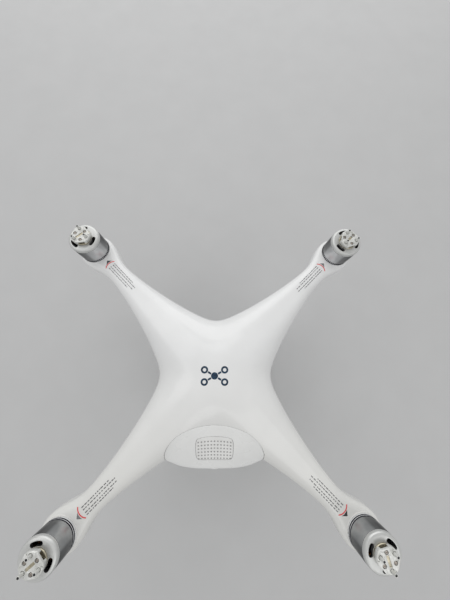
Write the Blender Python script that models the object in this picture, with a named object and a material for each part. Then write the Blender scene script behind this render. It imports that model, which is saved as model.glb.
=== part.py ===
"""Four-rotor camera drone, without its propellers, standing on its two landing skids.

Row frame: origin on the ground under the middle of the machine, +Z up, +Y forward.
Every dimension below is in millimetres; the helpers turn them into metres.
"""

import math

import bmesh
import bpy
from mathutils import Matrix, Vector

MM = 0.001
ROOT2 = math.sqrt(2.0)

# ---- overall layout ----
WHEELBASE = 350.0                       # motor to motor across the diagonal
MOTOR_XY = WHEELBASE / 2.0 / ROOT2      # each motor's distance from both centre planes
SEAM_Z = 148.0                          # joint line between the two shell halves
SEAM_GAP = 0.3
SHELL_WALL = 2.0
FIT_GAP = 0.3                           # air between two separate pieces

# ---- hull cage: one row per station along an arm ----
# (centre line distance, edge distance, half width) measured along the arm from the body centre
WAIST = 50.0
STATIONS = (
    (27.0, 52.0, 28.2),
    (52.0, 75.0, 21.2),
    (86.0, 104.0, 14.8),
    (122.0, 130.0, 10.8),
    (148.0, 150.0, 9.4),
    (165.0, 165.0, 16.0),
    (180.0, 179.5, 18.4),
    (193.9, 190.5, 10.8),
)
TOP_HEIGHTS = (179.0, 177.5, 173.0, 166.0, 160.0, 156.8, 157.1, 157.1, 156.0)
TOP_RIM_SHARE = (0.42, 0.42, 0.46, 0.50, 0.55, 0.62, 0.78, 0.80, 0.74)
TOP_MID_SHARE = (0.93, 0.92, 0.93, 0.94, 0.96, 0.98, 1.00, 1.00, 0.98)
BELLY_HEIGHTS = (97.4, 98.0, 104.0, 118.5, 127.5, 131.5, 130.5, 130.0, 132.0)
BELLY_RIM_SHARE = (0.45, 0.42, 0.42, 0.46, 0.52, 0.60, 0.70, 0.72, 0.66)
BELLY_MID_SHARE = (0.97, 0.97, 0.95, 0.95, 0.96, 0.98, 1.00, 1.00, 0.98)
MID_COLUMN = 0.56                       # where the middle columns stand between centre and edge

# ---- motors and the quick-release propeller mounts ----
SEAT_TOP = 157.4
SEAT_R = 14.4
BELL_R = 14.0
BELL_LOW = 158.0
BELL_TOP = 184.0
BELL_WALL = 1.1
SHAFT_R = 1.5
SHAFT_CLEARANCE = 0.08
SLOT_INNER_R = 8.1
SLOT_OUTER_R = 11.4
SLOT_ANGLE = 54.0
MOUNT_DISC_R = 7.6
MOUNT_DISC_TOP = 185.3
HUB_TOP = 185.9
POST_RING_R = 6.1
POST_R = 1.2
POST_HOLE_R = 1.55
POST_TOP = 194.5
PLATE_R = 8.6
PLATE_LOW = 186.4
PLATE_TOP = 190.2
PLATE_SKIN = 1.5
KEY_SLOT = (-2.8, 4.2, 0.65)            # start, end and half width of the slot in the lock plate
SPRING_R = 3.1
SPRING_WIRE_R = 0.32
SPRING_LOW = 185.45
SPRING_TURNS = 3
REST_TURNS = {"fl": 220.0, "fr": 225.0, "rl": 220.0, "rr": 283.0}   # where each rotor's first post stands

# ---- battery ----
BATTERY_HALF = 36.0
BATTERY_LOW = 119.6
BATTERY_HIGH = 158.0
BATTERY_FRONT = 33.6
BATTERY_REAR = -38.0
END_HALF = 42.2                         # half width of the battery's outer end
END_ARC_Y = -39.6                       # front of the lens-shaped end, on the centre plane
END_ARC_HALF = 44.0
END_REAR_Y = -82.3
END_FRONT_Z = 170.3
END_LOW_Z = 124.0
END_REAR_Z = 141.0
PAD_HALF = 16.2

# ---- forward sensors ----
EYE_FRONT = 56.2

# ---- landing gear ----
SKID_X = 76.0
SKID_Z = 6.4
SKID_HALF = 70.0
LEG_TOP = (61.0, 48.0, 127.0)
PAD_HEIGHT = 3.0

# ---- gimbal and camera ----
YAW_Y = 14.0
CAMERA_Z = 42.0
CAMERA_HALF = 15.0

COLOURS = {
    "shell_white": ((0.83, 0.84, 0.85), 0.22, 0.0),
    "inner_black": ((0.035, 0.036, 0.04), 0.55, 0.0),
    "board_green": ((0.03, 0.16, 0.08), 0.5, 0.0),
    "ceramic": ((0.72, 0.68, 0.58), 0.6, 0.0),
    "bell_metal": ((0.56, 0.57, 0.58), 0.34, 0.9),
    "copper": ((0.62, 0.28, 0.12), 0.4, 0.9),
    "mount_silver": ((0.78, 0.78, 0.76), 0.3, 0.85),
    "spring_steel": ((0.45, 0.45, 0.46), 0.35, 1.0),
    "rubber_black": ((0.03, 0.03, 0.03), 0.85, 0.0),
    "light_lens": ((0.75, 0.12, 0.08), 0.2, 0.0),
    "gimbal_grey": ((0.52, 0.53, 0.55), 0.36, 0.6),
    "camera_grey": ((0.68, 0.69, 0.71), 0.3, 0.5),
    "lens_black": ((0.015, 0.015, 0.018), 0.25, 0.0),
    "lens_glass": ((0.04, 0.05, 0.09), 0.05, 0.0),
    "battery_grey": ((0.30, 0.31, 0.33), 0.5, 0.0),
    "cell_wrap": ((0.10, 0.13, 0.30), 0.5, 0.0),
    "pad_white": ((0.76, 0.77, 0.78), 0.42, 0.0),
}


# ---------------------------------------------------------------- helpers
def clear_scene():
    """Start from an empty file."""
    for old in list(bpy.data.objects):
        bpy.data.objects.remove(old, do_unlink=True)


def material(name):
    """One Principled material per colour name."""
    found = bpy.data.materials.get(name)
    if found:
        return found
    colour, roughness, metallic = COLOURS[name]
    made = bpy.data.materials.new(name)
    made.use_nodes = True
    made.diffuse_color = (*colour, 1.0)
    shader = made.node_tree.nodes["Principled BSDF"]
    shader.inputs["Base Color"].default_value = (*colour, 1.0)
    shader.inputs["Roughness"].default_value = roughness
    shader.inputs["Metallic"].default_value = metallic
    return made


def add_part(name, mesh, colour, origin=(0.0, 0.0, 0.0), smooth=None):
    """Turn a bmesh in millimetres into an object whose origin is at the given point."""
    bmesh.ops.remove_doubles(mesh, verts=mesh.verts, dist=1e-5)
    bmesh.ops.translate(mesh, verts=mesh.verts, vec=-Vector(origin))
    bmesh.ops.scale(mesh, verts=mesh.verts, vec=(MM, MM, MM))
    data = bpy.data.meshes.new(name)
    mesh.to_mesh(data)
    mesh.free()
    part = bpy.data.objects.new(name, data)
    part.location = Vector(origin) * MM
    bpy.context.scene.collection.objects.link(part)
    if colour:
        data.materials.append(material(colour))
    if smooth:
        data.shade_smooth()
        data.set_sharp_from_angle(angle=math.radians(smooth))
    return part


def add_cutter(name, mesh):
    """A shape that only cuts or joins others and is never part of the drone itself."""
    cutter = add_part(name, mesh, None)
    cutter.hide_render = True
    cutter.display_type = "WIRE"
    return cutter


def combine(part, cutter, operation="DIFFERENCE"):
    """Cut a shape away from a part, or join it on."""
    step = part.modifiers.new(operation.lower() + "_" + cutter.name, "BOOLEAN")
    step.operation = operation
    step.solver = "EXACT"
    step.object = cutter


def gather(name, origin, parts):
    """Parent the pieces that move together to an empty on their joint's axis."""
    holder = bpy.data.objects.new(name, None)
    holder.empty_display_size = 0.01
    holder.location = Vector(origin) * MM
    bpy.context.scene.collection.objects.link(holder)
    for part in parts:
        part.parent = holder
        part.location = part.location - holder.location


def round_edges(part, width, segments=2, angle=35.0):
    """Round a part's sharp edges."""
    step = part.modifiers.new("round", "BEVEL")
    step.width = width * MM
    step.segments = segments
    step.limit_method = "ANGLE"
    step.angle_limit = math.radians(angle)


def box(low, high):
    """A box between two corners."""
    mesh = bmesh.new()
    middle = [(a + b) / 2.0 for a, b in zip(low, high)]
    size = [b - a for a, b in zip(low, high)]
    place = Matrix.Translation(middle) @ Matrix.Diagonal((*size, 1.0))
    bmesh.ops.create_cube(mesh, size=1.0, matrix=place)
    return mesh


def merge(*meshes):
    """Put several separate bmeshes into the first one."""
    first = meshes[0]
    for other in meshes[1:]:
        spare = bpy.data.meshes.new("spare")
        other.to_mesh(spare)
        other.free()
        first.from_mesh(spare)
        bpy.data.meshes.remove(spare)
    return first


def turned(profile, segments, centre=(0.0, 0.0), axis="Z"):
    """Turn a (radius, height) profile round an axis; the profile runs down its outer side.

    The axis stands at the given centre. For axis Z the centre is (x, y), for Y it is (x, z)
    and for X it is (y, z); heights are then read along that axis.
    """
    mesh = bmesh.new()
    rings = []
    for radius, height in profile:
        if radius < 1e-6:
            rings.append([mesh.verts.new((0.0, 0.0, height))])
            continue
        ring = []
        for step in range(segments):
            angle = 2.0 * math.pi * (step + 0.5) / segments
            ring.append(mesh.verts.new((radius * math.cos(angle), radius * math.sin(angle), height)))
        rings.append(ring)
    closed = profile[0][0] > 1e-6
    pairs = list(zip(rings, rings[1:]))
    if closed:
        pairs.append((rings[-1], rings[0]))
    for upper, lower in pairs:
        for step in range(segments):
            after = (step + 1) % segments
            if len(upper) == 1:
                mesh.faces.new((upper[0], lower[step], lower[after]))
            elif len(lower) == 1:
                mesh.faces.new((upper[step], lower[0], upper[after]))
            else:
                mesh.faces.new((upper[step], lower[step], lower[after], upper[after]))
    if axis == "Z":
        frame = Matrix.Translation((centre[0], centre[1], 0.0))
    elif axis == "Y":
        frame = Matrix.Translation((centre[0], 0.0, centre[1])) @ Matrix.Rotation(-math.pi / 2.0, 4, "X")
    else:
        frame = Matrix.Translation((0.0, centre[0], centre[1])) @ Matrix.Rotation(math.pi / 2.0, 4, "Y")
    bmesh.ops.transform(mesh, matrix=frame, verts=mesh.verts)
    return mesh


def disc(radius, low, high, segments=24, centre=(0.0, 0.0), axis="Z"):
    """A plain round bar along an axis."""
    return turned(((0.0, high), (radius, high), (radius, low), (0.0, low)), segments, centre, axis)


def swept(path, across, half_wide, half_high, sides=8):
    """Sweep an oval along a flat path; across is the normal of the path's plane."""
    mesh = bmesh.new()
    across = Vector(across).normalized()
    points = [Vector(point) for point in path]
    rings = []
    for index, point in enumerate(points):
        before = points[max(index - 1, 0)]
        after = points[min(index + 1, len(points) - 1)]
        along = (after - before).normalized()
        up = across.cross(along).normalized()
        ring = []
        for step in range(sides):
            angle = 2.0 * math.pi * (step + 0.5) / sides
            ring.append(mesh.verts.new(point + across * half_wide * math.cos(angle)
                                       + up * half_high * math.sin(angle)))
        rings.append(ring)
    for first, second in zip(rings, rings[1:]):
        for step in range(sides):
            after = (step + 1) % sides
            mesh.faces.new((first[step], first[after], second[after], second[step]))
    mesh.faces.new(list(reversed(rings[0])))
    mesh.faces.new(rings[-1])
    bmesh.ops.recalc_face_normals(mesh, faces=mesh.faces)
    return mesh


def slab(top, bottom):
    """A solid between two grids of points that stand one above the other."""
    mesh = bmesh.new()
    rows = len(top)
    columns = len(top[0])
    high = [[mesh.verts.new(point) for point in row] for row in top]
    low = [[mesh.verts.new(point) for point in row] for row in bottom]
    for i in range(rows - 1):
        for j in range(columns - 1):
            mesh.faces.new((high[i][j], high[i][j + 1], high[i + 1][j + 1], high[i + 1][j]))
            mesh.faces.new((low[i][j], low[i + 1][j], low[i + 1][j + 1], low[i][j + 1]))
    rim = [(i, 0) for i in range(rows)]
    rim += [(rows - 1, j) for j in range(1, columns)]
    rim += [(i, columns - 1) for i in range(rows - 2, -1, -1)]
    rim += [(0, j) for j in range(columns - 2, 0, -1)]
    for (i, j), (k, m) in zip(rim, rim[1:] + rim[:1]):
        mesh.faces.new((high[i][j], high[k][m], low[k][m], low[i][j]))
    bmesh.ops.recalc_face_normals(mesh, faces=mesh.faces)
    return mesh


# ---------------------------------------------------------------- hull shells
def arm_point(along, across, height):
    """A point of the front right arm from its distances along and across the arm."""
    return Vector(((along - across) / ROOT2, (along + across) / ROOT2, height))


def hull_rows(heights, rim_shares, mid_shares, seam, grow=0.0):
    """Five columns of cage points from the side edge to the front edge, row by row."""
    rows = []
    for index, height in enumerate(heights):
        rim = seam + (height - seam) * rim_shares[index]
        middle = seam + (height - seam) * mid_shares[index]
        if index == 0:
            reach = WAIST + grow
            side = Vector((reach, 0.0, rim))
            front = Vector((0.0, reach, rim))
            centre = Vector((0.0, 0.0, height))
        else:
            centre_s, edge_s, half = STATIONS[index - 1]
            if index == len(heights) - 1:
                centre_s += grow
                edge_s += grow
            side = arm_point(edge_s, -half - grow, rim)
            front = arm_point(edge_s, half + grow, rim)
            centre = arm_point(centre_s, 0.0, height)
        row = [side]
        for edge in (side, front):
            point = centre.lerp(edge, MID_COLUMN)
            point.z = middle
            row.append(point)
        row.insert(2, centre)
        row.append(front)
        rows.append(row)
    return rows


def hull_cage(rows, seam, up, lid=None):
    """Quarter cage with a skirt down (or up) to the seam; lid closes it with a flat cover."""
    mesh = bmesh.new()
    grid = [[mesh.verts.new(point) for point in row] for row in rows]
    last = len(rows) - 1

    def quad(corners):
        mesh.faces.new(corners if up else tuple(reversed(corners)))

    for i in range(last):
        for j in range(4):
            quad((grid[i][j], grid[i + 1][j], grid[i + 1][j + 1], grid[i][j + 1]))
    rim = [grid[i][0] for i in range(last + 1)]
    rim += [grid[last][j] for j in range(1, 5)]
    rim += [grid[i][4] for i in range(last - 1, -1, -1)]
    skirt = [mesh.verts.new((vert.co.x, vert.co.y, seam)) for vert in rim]
    for index in range(len(rim) - 1):
        quad((rim[index], skirt[index], skirt[index + 1], rim[index + 1]))
    if lid is not None:
        cover = [[mesh.verts.new((vert.co.x, vert.co.y, lid)) for vert in row] for row in grid]
        for i in range(last):
            for j in range(4):
                quad((cover[i][j], cover[i][j + 1], cover[i + 1][j + 1], cover[i + 1][j]))
        edge = [cover[i][0] for i in range(last + 1)]
        edge += [cover[last][j] for j in range(1, 5)]
        edge += [cover[i][4] for i in range(last - 1, -1, -1)]
        for index in range(len(edge) - 1):
            quad((skirt[index], edge[index], edge[index + 1], skirt[index + 1]))
    return mesh


def smooth_hull(part, wall=None):
    """Mirror the quarter cage both ways, smooth it and give it a wall."""
    mirror = part.modifiers.new("four_arms", "MIRROR")
    mirror.use_axis = (True, True, False)
    mirror.merge_threshold = 0.00005
    smooth = part.modifiers.new("smooth", "SUBSURF")
    smooth.levels = 1
    smooth.render_levels = 1
    if wall:
        solid = part.modifiers.new("wall", "SOLIDIFY")
        solid.thickness = wall * MM
        solid.offset = -1.0
        solid.use_even_offset = True


def end_arc(x):
    """Front edge of the battery's lens-shaped end, seen from above."""
    bend = 1.0 - math.sqrt(1.0 - (x / END_ARC_HALF) ** 2)
    return END_ARC_Y - 26.0 * bend * (1.0 + 0.4 * bend)


def battery_opening():
    """What is cut from the upper shell for the battery's end: the lens shape, open to the rear."""
    xs = [(END_HALF + 0.3) * math.sin(math.pi / 2.0 * step / 8.0) for step in range(-8, 9)]
    top = [[(x, end_arc(min(abs(x), END_HALF)) + FIT_GAP, 190.0) for x in xs],
           [(x, -120.0, 190.0) for x in xs]]
    bottom = [[(x, y, 140.0) for x, y, _ in row] for row in top]
    return slab(top, bottom)


def motor_places():
    """The four motor axes with a short name for each corner."""
    return (("fl", -MOTOR_XY, MOTOR_XY), ("fr", MOTOR_XY, MOTOR_XY),
            ("rl", -MOTOR_XY, -MOTOR_XY), ("rr", MOTOR_XY, -MOTOR_XY))


def build_shells():
    """Upper and lower hull halves."""
    rows = hull_rows(TOP_HEIGHTS, TOP_RIM_SHARE, TOP_MID_SHARE, SEAM_Z + SEAM_GAP / 2.0)
    upper = add_part("top_shell", hull_cage(rows, SEAM_Z + SEAM_GAP / 2.0, True), "shell_white", smooth=40)
    smooth_hull(upper, SHELL_WALL)
    seats = [disc(SEAT_R, 152.6, SEAT_TOP, 18, (x, y)) for _, x, y in motor_places()]
    combine(upper, add_cutter("cut_motor_seats", merge(*seats)), "UNION")
    holes = [disc(8.3, 140.0, 170.0, 12, (x, y)) for _, x, y in motor_places()]
    combine(upper, add_cutter("cut_motor_holes", merge(*holes)))
    combine(upper, add_cutter("cut_battery_opening", battery_opening()))

    seam = SEAM_Z - SEAM_GAP / 2.0
    rows = hull_rows(BELLY_HEIGHTS, BELLY_RIM_SHARE, BELLY_MID_SHARE, seam)
    lower = add_part("bottom_shell", hull_cage(rows, seam, False), "shell_white", smooth=40)
    smooth_hull(lower, SHELL_WALL)
    slot = box((-END_HALF - 0.3, -120.0, BATTERY_LOW - 2.6), (END_HALF + 0.3, -34.6, 160.0))
    combine(lower, add_cutter("cut_battery_slot", slot))
    eyes = [disc(5.7, 40.0, 80.0, 16, (x, 134.0), "Y") for x in (-20.0, 20.0)]
    combine(lower, add_cutter("cut_eye_holes", merge(*eyes)))


def build_lower_hull_cutter():
    """The lower hull as a filled volume with a little air round it, for shaping the legs' tops."""
    rows = hull_rows(BELLY_HEIGHTS, BELLY_RIM_SHARE, BELLY_MID_SHARE, SEAM_Z, FIT_GAP)
    for row in rows:
        for point in row:
            point.z -= FIT_GAP
    cutter = add_cutter("cut_hull_volume", hull_cage(rows, SEAM_Z, False, lid=156.0))
    smooth_hull(cutter)
    return cutter


# ---------------------------------------------------------------- inside the airframe
def build_inside(hull):
    """Battery tray, boards and sensors in and under the hull."""
    tray = add_part("core_frame", box((-38.6, -34.0, 117.6), (38.6, 40.0, 160.4)), "inner_black")
    room = box((-36.4, -60.0, 119.2), (36.4, 37.6, 158.6))
    combine(tray, add_cutter("cut_tray_room", room))
    plug = box((-12.4, 30.0, 131.6), (12.4, 60.0, 142.4))
    combine(tray, add_cutter("cut_tray_plug", plug))
    terminal = add_part("battery_terminal", box((-12.0, 34.0, 132.0), (12.0, 44.0, 142.0)), "ceramic")
    round_edges(terminal, 0.6, 1)
    board = add_part("main_board", box((-30.0, -30.0, 108.6), (30.0, 34.0, 110.2)), "board_green")
    round_edges(board, 0.3, 1)
    gps = turned(((0.0, 169.5), (11.0, 169.5), (13.0, 167.8), (13.0, 161.0), (0.0, 161.0)), 24, (0.0, 18.0))
    add_part("gps_module", gps, "ceramic", smooth=30)
    for side, x in (("l", -20.0), ("r", 20.0)):
        eye = turned(((0.0, EYE_FRONT - 1.6), (3.2, EYE_FRONT - 1.6), (3.6, EYE_FRONT), (5.3, EYE_FRONT),
                      (5.3, EYE_FRONT - 12.0), (0.0, EYE_FRONT - 12.0)), 16, (x, 134.0), "Y")
        add_part("vision_sensor_" + side, eye, "lens_black", smooth=30)
    belly = add_part("belly_sensor", box((-17.0, -46.0, 94.4), (17.0, -20.0, 104.0)), "inner_black")
    round_edges(belly, 1.2, 1)
    combine(belly, hull)
    eyes = [disc(4.2, 92.6, 95.4, 16, (x, -33.5)) for x in (-10.0, 10.0)]
    combine(belly, add_cutter("cut_belly_eyes", merge(*eyes)), "UNION")
    for corner, x, y in motor_places():
        lamp = turned(((0.0, 129.6), (9.0, 129.6), (10.5, 128.6), (9.4, 126.6), (5.0, 125.6), (0.0, 125.4)),
                      20, (x, y))
        add_part("arm_light_" + corner, lamp, "light_lens", smooth=30)


# ---------------------------------------------------------------- motors
def slot_cutter(x, y, rest):
    """Three curved slots through a bell's cap, each outside a post."""
    pieces = []
    for turn in range(3):
        top = []
        bottom = []
        for radius in (SLOT_INNER_R, SLOT_OUTER_R):
            top.append([])
            bottom.append([])
            for step in range(7):
                angle = math.radians(rest + 120.0 * turn + SLOT_ANGLE * (step / 6.0 - 0.5))
                px = x + radius * math.cos(angle)
                py = y + radius * math.sin(angle)
                top[-1].append((px, py, BELL_TOP + 2.0))
                bottom[-1].append((px, py, BELL_TOP - 4.0))
        pieces.append(slab(top, bottom))
    return merge(*pieces)


def build_motor(corner, x, y):
    """Fixed winding, turning bell and the quick-release mount on top of it."""
    rest = REST_TURNS[corner]
    hole = SHAFT_R + SHAFT_CLEARANCE
    stator = turned(((hole, 178.0), (4.2, 178.0), (4.2, 175.0), (11.4, 174.0), (11.4, 161.6), (4.2, 160.6),
                     (4.2, 158.8), (11.6, 158.8), (11.6, 157.7), (8.0, 157.7), (8.0, 151.0), (hole, 151.0)),
                    12, (x, y))
    add_part("motor_stator_" + corner, stator, "copper", (x, y, SEAT_TOP), smooth=30)

    inner = BELL_R - BELL_WALL
    bell = turned(((0.0, BELL_TOP), (12.9, BELL_TOP), (13.7, BELL_TOP - 0.5), (BELL_R, BELL_TOP - 1.4),
                   (BELL_R, BELL_LOW), (inner, BELL_LOW), (inner, BELL_TOP - 2.2), (3.4, BELL_TOP - 1.8),
                   (SHAFT_R, BELL_TOP - 3.6), (SHAFT_R, 152.0), (0.0, 152.0)), 28, (x, y))
    shell = add_part("bell_" + corner, bell, "bell_metal", (x, y, BELL_LOW), smooth=30)
    combine(shell, add_cutter("cut_bell_slots_" + corner, slot_cutter(x, y, rest)))

    base = turned(((0.0, HUB_TOP), (1.9, HUB_TOP), (1.9, MOUNT_DISC_TOP), (MOUNT_DISC_R, MOUNT_DISC_TOP),
                   (MOUNT_DISC_R, BELL_TOP + FIT_GAP), (0.0, BELL_TOP + FIT_GAP)), 16, (x, y))
    mount = add_part("prop_mount_" + corner, base, "mount_silver", (x, y, BELL_TOP), smooth=30)
    posts = []
    for turn in range(3):
        angle = math.radians(rest + 120.0 * turn)
        spot = (x + POST_RING_R * math.cos(angle), y + POST_RING_R * math.sin(angle))
        posts.append(disc(POST_R, MOUNT_DISC_TOP - 0.5, POST_TOP, 8, spot))
    combine(mount, add_cutter("cut_posts_" + corner, merge(*posts)), "UNION")

    skirt = PLATE_R - 0.7
    cup = turned(((0.0, PLATE_TOP), (PLATE_R - 0.4, PLATE_TOP), (PLATE_R, PLATE_TOP - 0.4), (PLATE_R, PLATE_LOW),
                  (skirt, PLATE_LOW), (skirt, PLATE_TOP - PLATE_SKIN), (0.0, PLATE_TOP - PLATE_SKIN)),
                 20, (x, y))
    plate = add_part("lock_plate_" + corner, cup, "mount_silver", (x, y, PLATE_LOW), smooth=30)
    start, end, half = KEY_SLOT
    key_slot = box((start, -half, 180.0), (end, half, 200.0))
    place = Matrix.Translation((x, y, 0.0)) @ Matrix.Rotation(math.radians(rest), 4, "Z")
    bmesh.ops.transform(key_slot, matrix=place, verts=key_slot.verts)
    holes = [key_slot]
    for turn in range(3):
        angle = math.radians(rest + 120.0 * turn)
        spot = (x + POST_RING_R * math.cos(angle), y + POST_RING_R * math.sin(angle))
        holes.append(disc(POST_HOLE_R, 180.0, 200.0, 8, spot))
        notch = box((-1.5, -1.6, 180.0), (1.5, 1.6, 200.0))
        angle += math.radians(60.0)
        place = Matrix.Translation((x + 8.6 * math.cos(angle), y + 8.6 * math.sin(angle), 0.0))
        bmesh.ops.transform(notch, matrix=place @ Matrix.Rotation(angle, 4, "Z"), verts=notch.verts)
        holes.append(notch)
    combine(plate, add_cutter("cut_plate_holes_" + corner, merge(*holes)))

    rise = PLATE_TOP - PLATE_SKIN - 0.15 - SPRING_WIRE_R - SPRING_LOW - SPRING_WIRE_R
    steps = SPRING_TURNS * 10
    path = []
    for step in range(steps + 1):
        angle = 2.0 * math.pi * step / 10.0
        path.append((x + SPRING_R * math.cos(angle), y + SPRING_R * math.sin(angle),
                     SPRING_LOW + SPRING_WIRE_R + rise * step / steps))
    coil = swept(path, (0.0, 0.0, 1.0), SPRING_WIRE_R, SPRING_WIRE_R, 4)
    spring = add_part("lock_spring_" + corner, coil, "spring_steel", (x, y, SPRING_LOW), smooth=60)
    gather("axis_rotor_" + corner, (x, y, BELL_TOP), (shell, mount, plate, spring))


# ---------------------------------------------------------------- landing gear
def build_landing_gear(hull):
    """Two skid frames, one piece each, and their rubber pads."""
    for side, sign in (("l", -1.0), ("r", 1.0)):
        path = []
        corner = 16.0
        top_x, top_y, top_z = LEG_TOP
        for end in (1.0, -1.0):
            leg_foot = Vector((sign * SKID_X, end * SKID_HALF, SKID_Z))
            leg_top = Vector((sign * top_x, end * top_y, top_z))
            rise = (leg_top - leg_foot).normalized()
            flat = Vector((0.0, -end, 0.0))
            half = [leg_top, leg_foot + rise * 60.0]
            for step in range(6):
                share = step / 5.0
                near = leg_foot.lerp(leg_foot + rise * corner, 1.0 - share)
                far = leg_foot.lerp(leg_foot + flat * corner, share)
                half.append(near.lerp(far, share))
            path += half if end > 0 else list(reversed(half))
        across = Vector((LEG_TOP[2] - SKID_Z, 0.0, sign * (SKID_X - LEG_TOP[0])))
        gear = add_part("landing_gear_" + side, swept(path, across, 3.0, 4.4, 10), "shell_white",
                        (sign * SKID_X, 0.0, SKID_Z), smooth=50)
        combine(gear, hull)
        bed = box((sign * SKID_X - 6.0, -90.0, -6.0), (sign * SKID_X + 6.0, 90.0, PAD_HEIGHT + FIT_GAP))
        combine(gear, add_cutter("cut_skid_flat_" + side, bed))
        for end, y in (("front", 46.0), ("rear", -46.0)):
            pad = add_part("foot_pad_" + end + "_" + side,
                           box((sign * SKID_X - 3.6, y - 11.0, 0.0), (sign * SKID_X + 3.6, y + 11.0, PAD_HEIGHT)),
                           "rubber_black", (sign * SKID_X, y, 0.0))
            round_edges(pad, 0.9, 1)


# ---------------------------------------------------------------- gimbal and camera
def build_gimbal(hull):
    """Vibration mount, three turning axes and the camera."""
    mount = add_part("gimbal_mount", box((-26.0, YAW_Y - 24.0, 93.6), (26.0, YAW_Y + 24.0, 103.0)), "inner_black")
    round_edges(mount, 2.0, 1)
    combine(mount, hull)
    for name, dx, dy in (("fl", -1, 1), ("fr", 1, 1), ("rl", -1, -1), ("rr", 1, -1)):
        ball = turned(((0.0, 93.3), (2.6, 93.3), (4.3, 91.6), (4.3, 89.6), (2.6, 87.9), (0.0, 87.9)),
                      12, (20.0 * dx, YAW_Y + 18.0 * dy))
        add_part("damper_" + name, ball, "rubber_black", smooth=60)
    base = add_part("gimbal_base", box((-25.0, YAW_Y - 23.0, 85.2), (25.0, YAW_Y + 23.0, 87.6)), "gimbal_grey")
    round_edges(base, 1.0, 1)
    drum = turned(((0.0, 86.4), (14.5, 86.4), (14.5, 77.8), (13.3, 76.4), (0.0, 76.4)), 28, (0.0, YAW_Y))
    combine(base, add_cutter("cut_yaw_drum", drum), "UNION")

    back = YAW_Y - 36.0
    yaw = add_part("yaw_arm", disc(13.0, 71.2, 76.1, 28, (0.0, YAW_Y)), "gimbal_grey", (0.0, YAW_Y, 76.0), 40)
    spine = merge(box((-8.0, back - 3.0, 71.4), (8.0, YAW_Y, 75.6)))
    combine(yaw, add_cutter("cut_yaw_spine", spine), "UNION")
    drop = box((-8.4, back - 5.2, CAMERA_Z), (8.4, back + 1.0, 75.0))
    combine(yaw, add_cutter("cut_yaw_drop", drop), "UNION")
    house = disc(12.5, back - 6.0, back + 5.6, 28, (0.0, CAMERA_Z), "Y")
    combine(yaw, add_cutter("cut_roll_house", house), "UNION")
    round_edges(yaw, 0.8, 1)

    front = back + 6.0
    roll = add_part("roll_arm", disc(11.8, front, front + 3.6, 28, (0.0, CAMERA_Z), "Y"), "gimbal_grey",
                    (0.0, front, CAMERA_Z), 40)
    bar = box((0.0, front + 0.3, CAMERA_Z - 6.5), (27.0, front + 3.3, CAMERA_Z + 6.5))
    combine(roll, add_cutter("cut_roll_bar", bar), "UNION")
    side = box((23.4, front + 0.3, CAMERA_Z - 6.5), (27.0, YAW_Y + 2.0, CAMERA_Z + 6.5))
    combine(roll, add_cutter("cut_roll_side", side), "UNION")
    pitch = disc(10.5, 19.9, 28.6, 28, (YAW_Y, CAMERA_Z), "X")
    combine(roll, add_cutter("cut_pitch_house", pitch), "UNION")
    round_edges(roll, 0.7, 1)

    low = (-19.0, YAW_Y - CAMERA_HALF, CAMERA_Z - CAMERA_HALF)
    high = (19.0, YAW_Y + CAMERA_HALF, CAMERA_Z + CAMERA_HALF)
    camera = add_part("camera_body", box(low, high), "camera_grey", (0.0, YAW_Y, CAMERA_Z), 40)
    round_edges(camera, 4.0, 3)
    lens_y = YAW_Y + CAMERA_HALF
    barrel = turned(((9.4, lens_y + 9.6), (11.8, lens_y + 9.6), (12.4, lens_y + 8.8), (12.4, lens_y + 0.3),
                     (4.0, lens_y + 0.3), (4.0, lens_y + 5.0), (9.4, lens_y + 7.0)), 32, (0.0, CAMERA_Z), "Y")
    barrel = add_part("lens_barrel", barrel, "lens_black", (0.0, YAW_Y, CAMERA_Z), smooth=30)
    glass = turned(((0.0, lens_y + 9.2), (5.0, lens_y + 8.8), (9.0, lens_y + 7.7), (9.0, lens_y + 7.3),
                    (0.0, lens_y + 7.3)), 24, (0.0, CAMERA_Z), "Y")
    glass = add_part("lens_glass", glass, "lens_glass", (0.0, YAW_Y, CAMERA_Z), smooth=60)
    gather("axis_pitch", (0.0, YAW_Y, CAMERA_Z), (camera, barrel, glass))


# ---------------------------------------------------------------- battery
def end_rear(x):
    """Rear edge of the battery's end, seen from above."""
    share = min(abs(x) / END_HALF, 1.0)
    return END_REAR_Y + 17.0 * (1.0 - (1.0 - share ** 3.2) ** 0.42)


def end_top(x, share):
    """Top of the battery's end from its front arc (share 0) to its rear edge (share 1)."""
    y = end_arc(x) + (end_rear(x) - end_arc(x)) * share
    side = abs(x) / END_HALF
    front_z = END_FRONT_Z + 1.6 * math.sin(math.pi * side) ** 2 - 7.5 * side ** 9
    rear_z = END_REAR_Z + 7.0 * side ** 4 + 13.0 * side ** 20
    fall = 0.86 * share + 0.14 * share ** 2
    return Vector((x, y, front_z + (rear_z - front_z) * fall))


def end_bottom(x, y):
    """Underside of the battery's end."""
    rise = max(0.0, (-50.0 - y) / 34.0)
    return Vector((x, y, BATTERY_LOW + (END_LOW_Z - BATTERY_LOW) * rise + 3.0 * (x / END_HALF) ** 4))


def pad_grid(share_low, share_high, half, lift, grow=0.0):
    """Rounded pad outline on the sloping top of the battery's end."""
    rows = []
    for i in range(5):
        b = i / 2.0 - 1.0
        row = []
        for j in range(7):
            a = j / 3.0 - 1.0
            x = (half + grow) * a * (1.0 - 0.10 * b ** 4)
            middle = (share_low + share_high) / 2.0
            reach = (share_high - share_low) / 2.0 + grow / 44.0
            point = end_top(x, middle + reach * b * (1.0 - 0.08 * a ** 4))
            row.append(point + Vector((0.0, 0.0, lift)))
        rows.append(row)
    return rows


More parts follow.
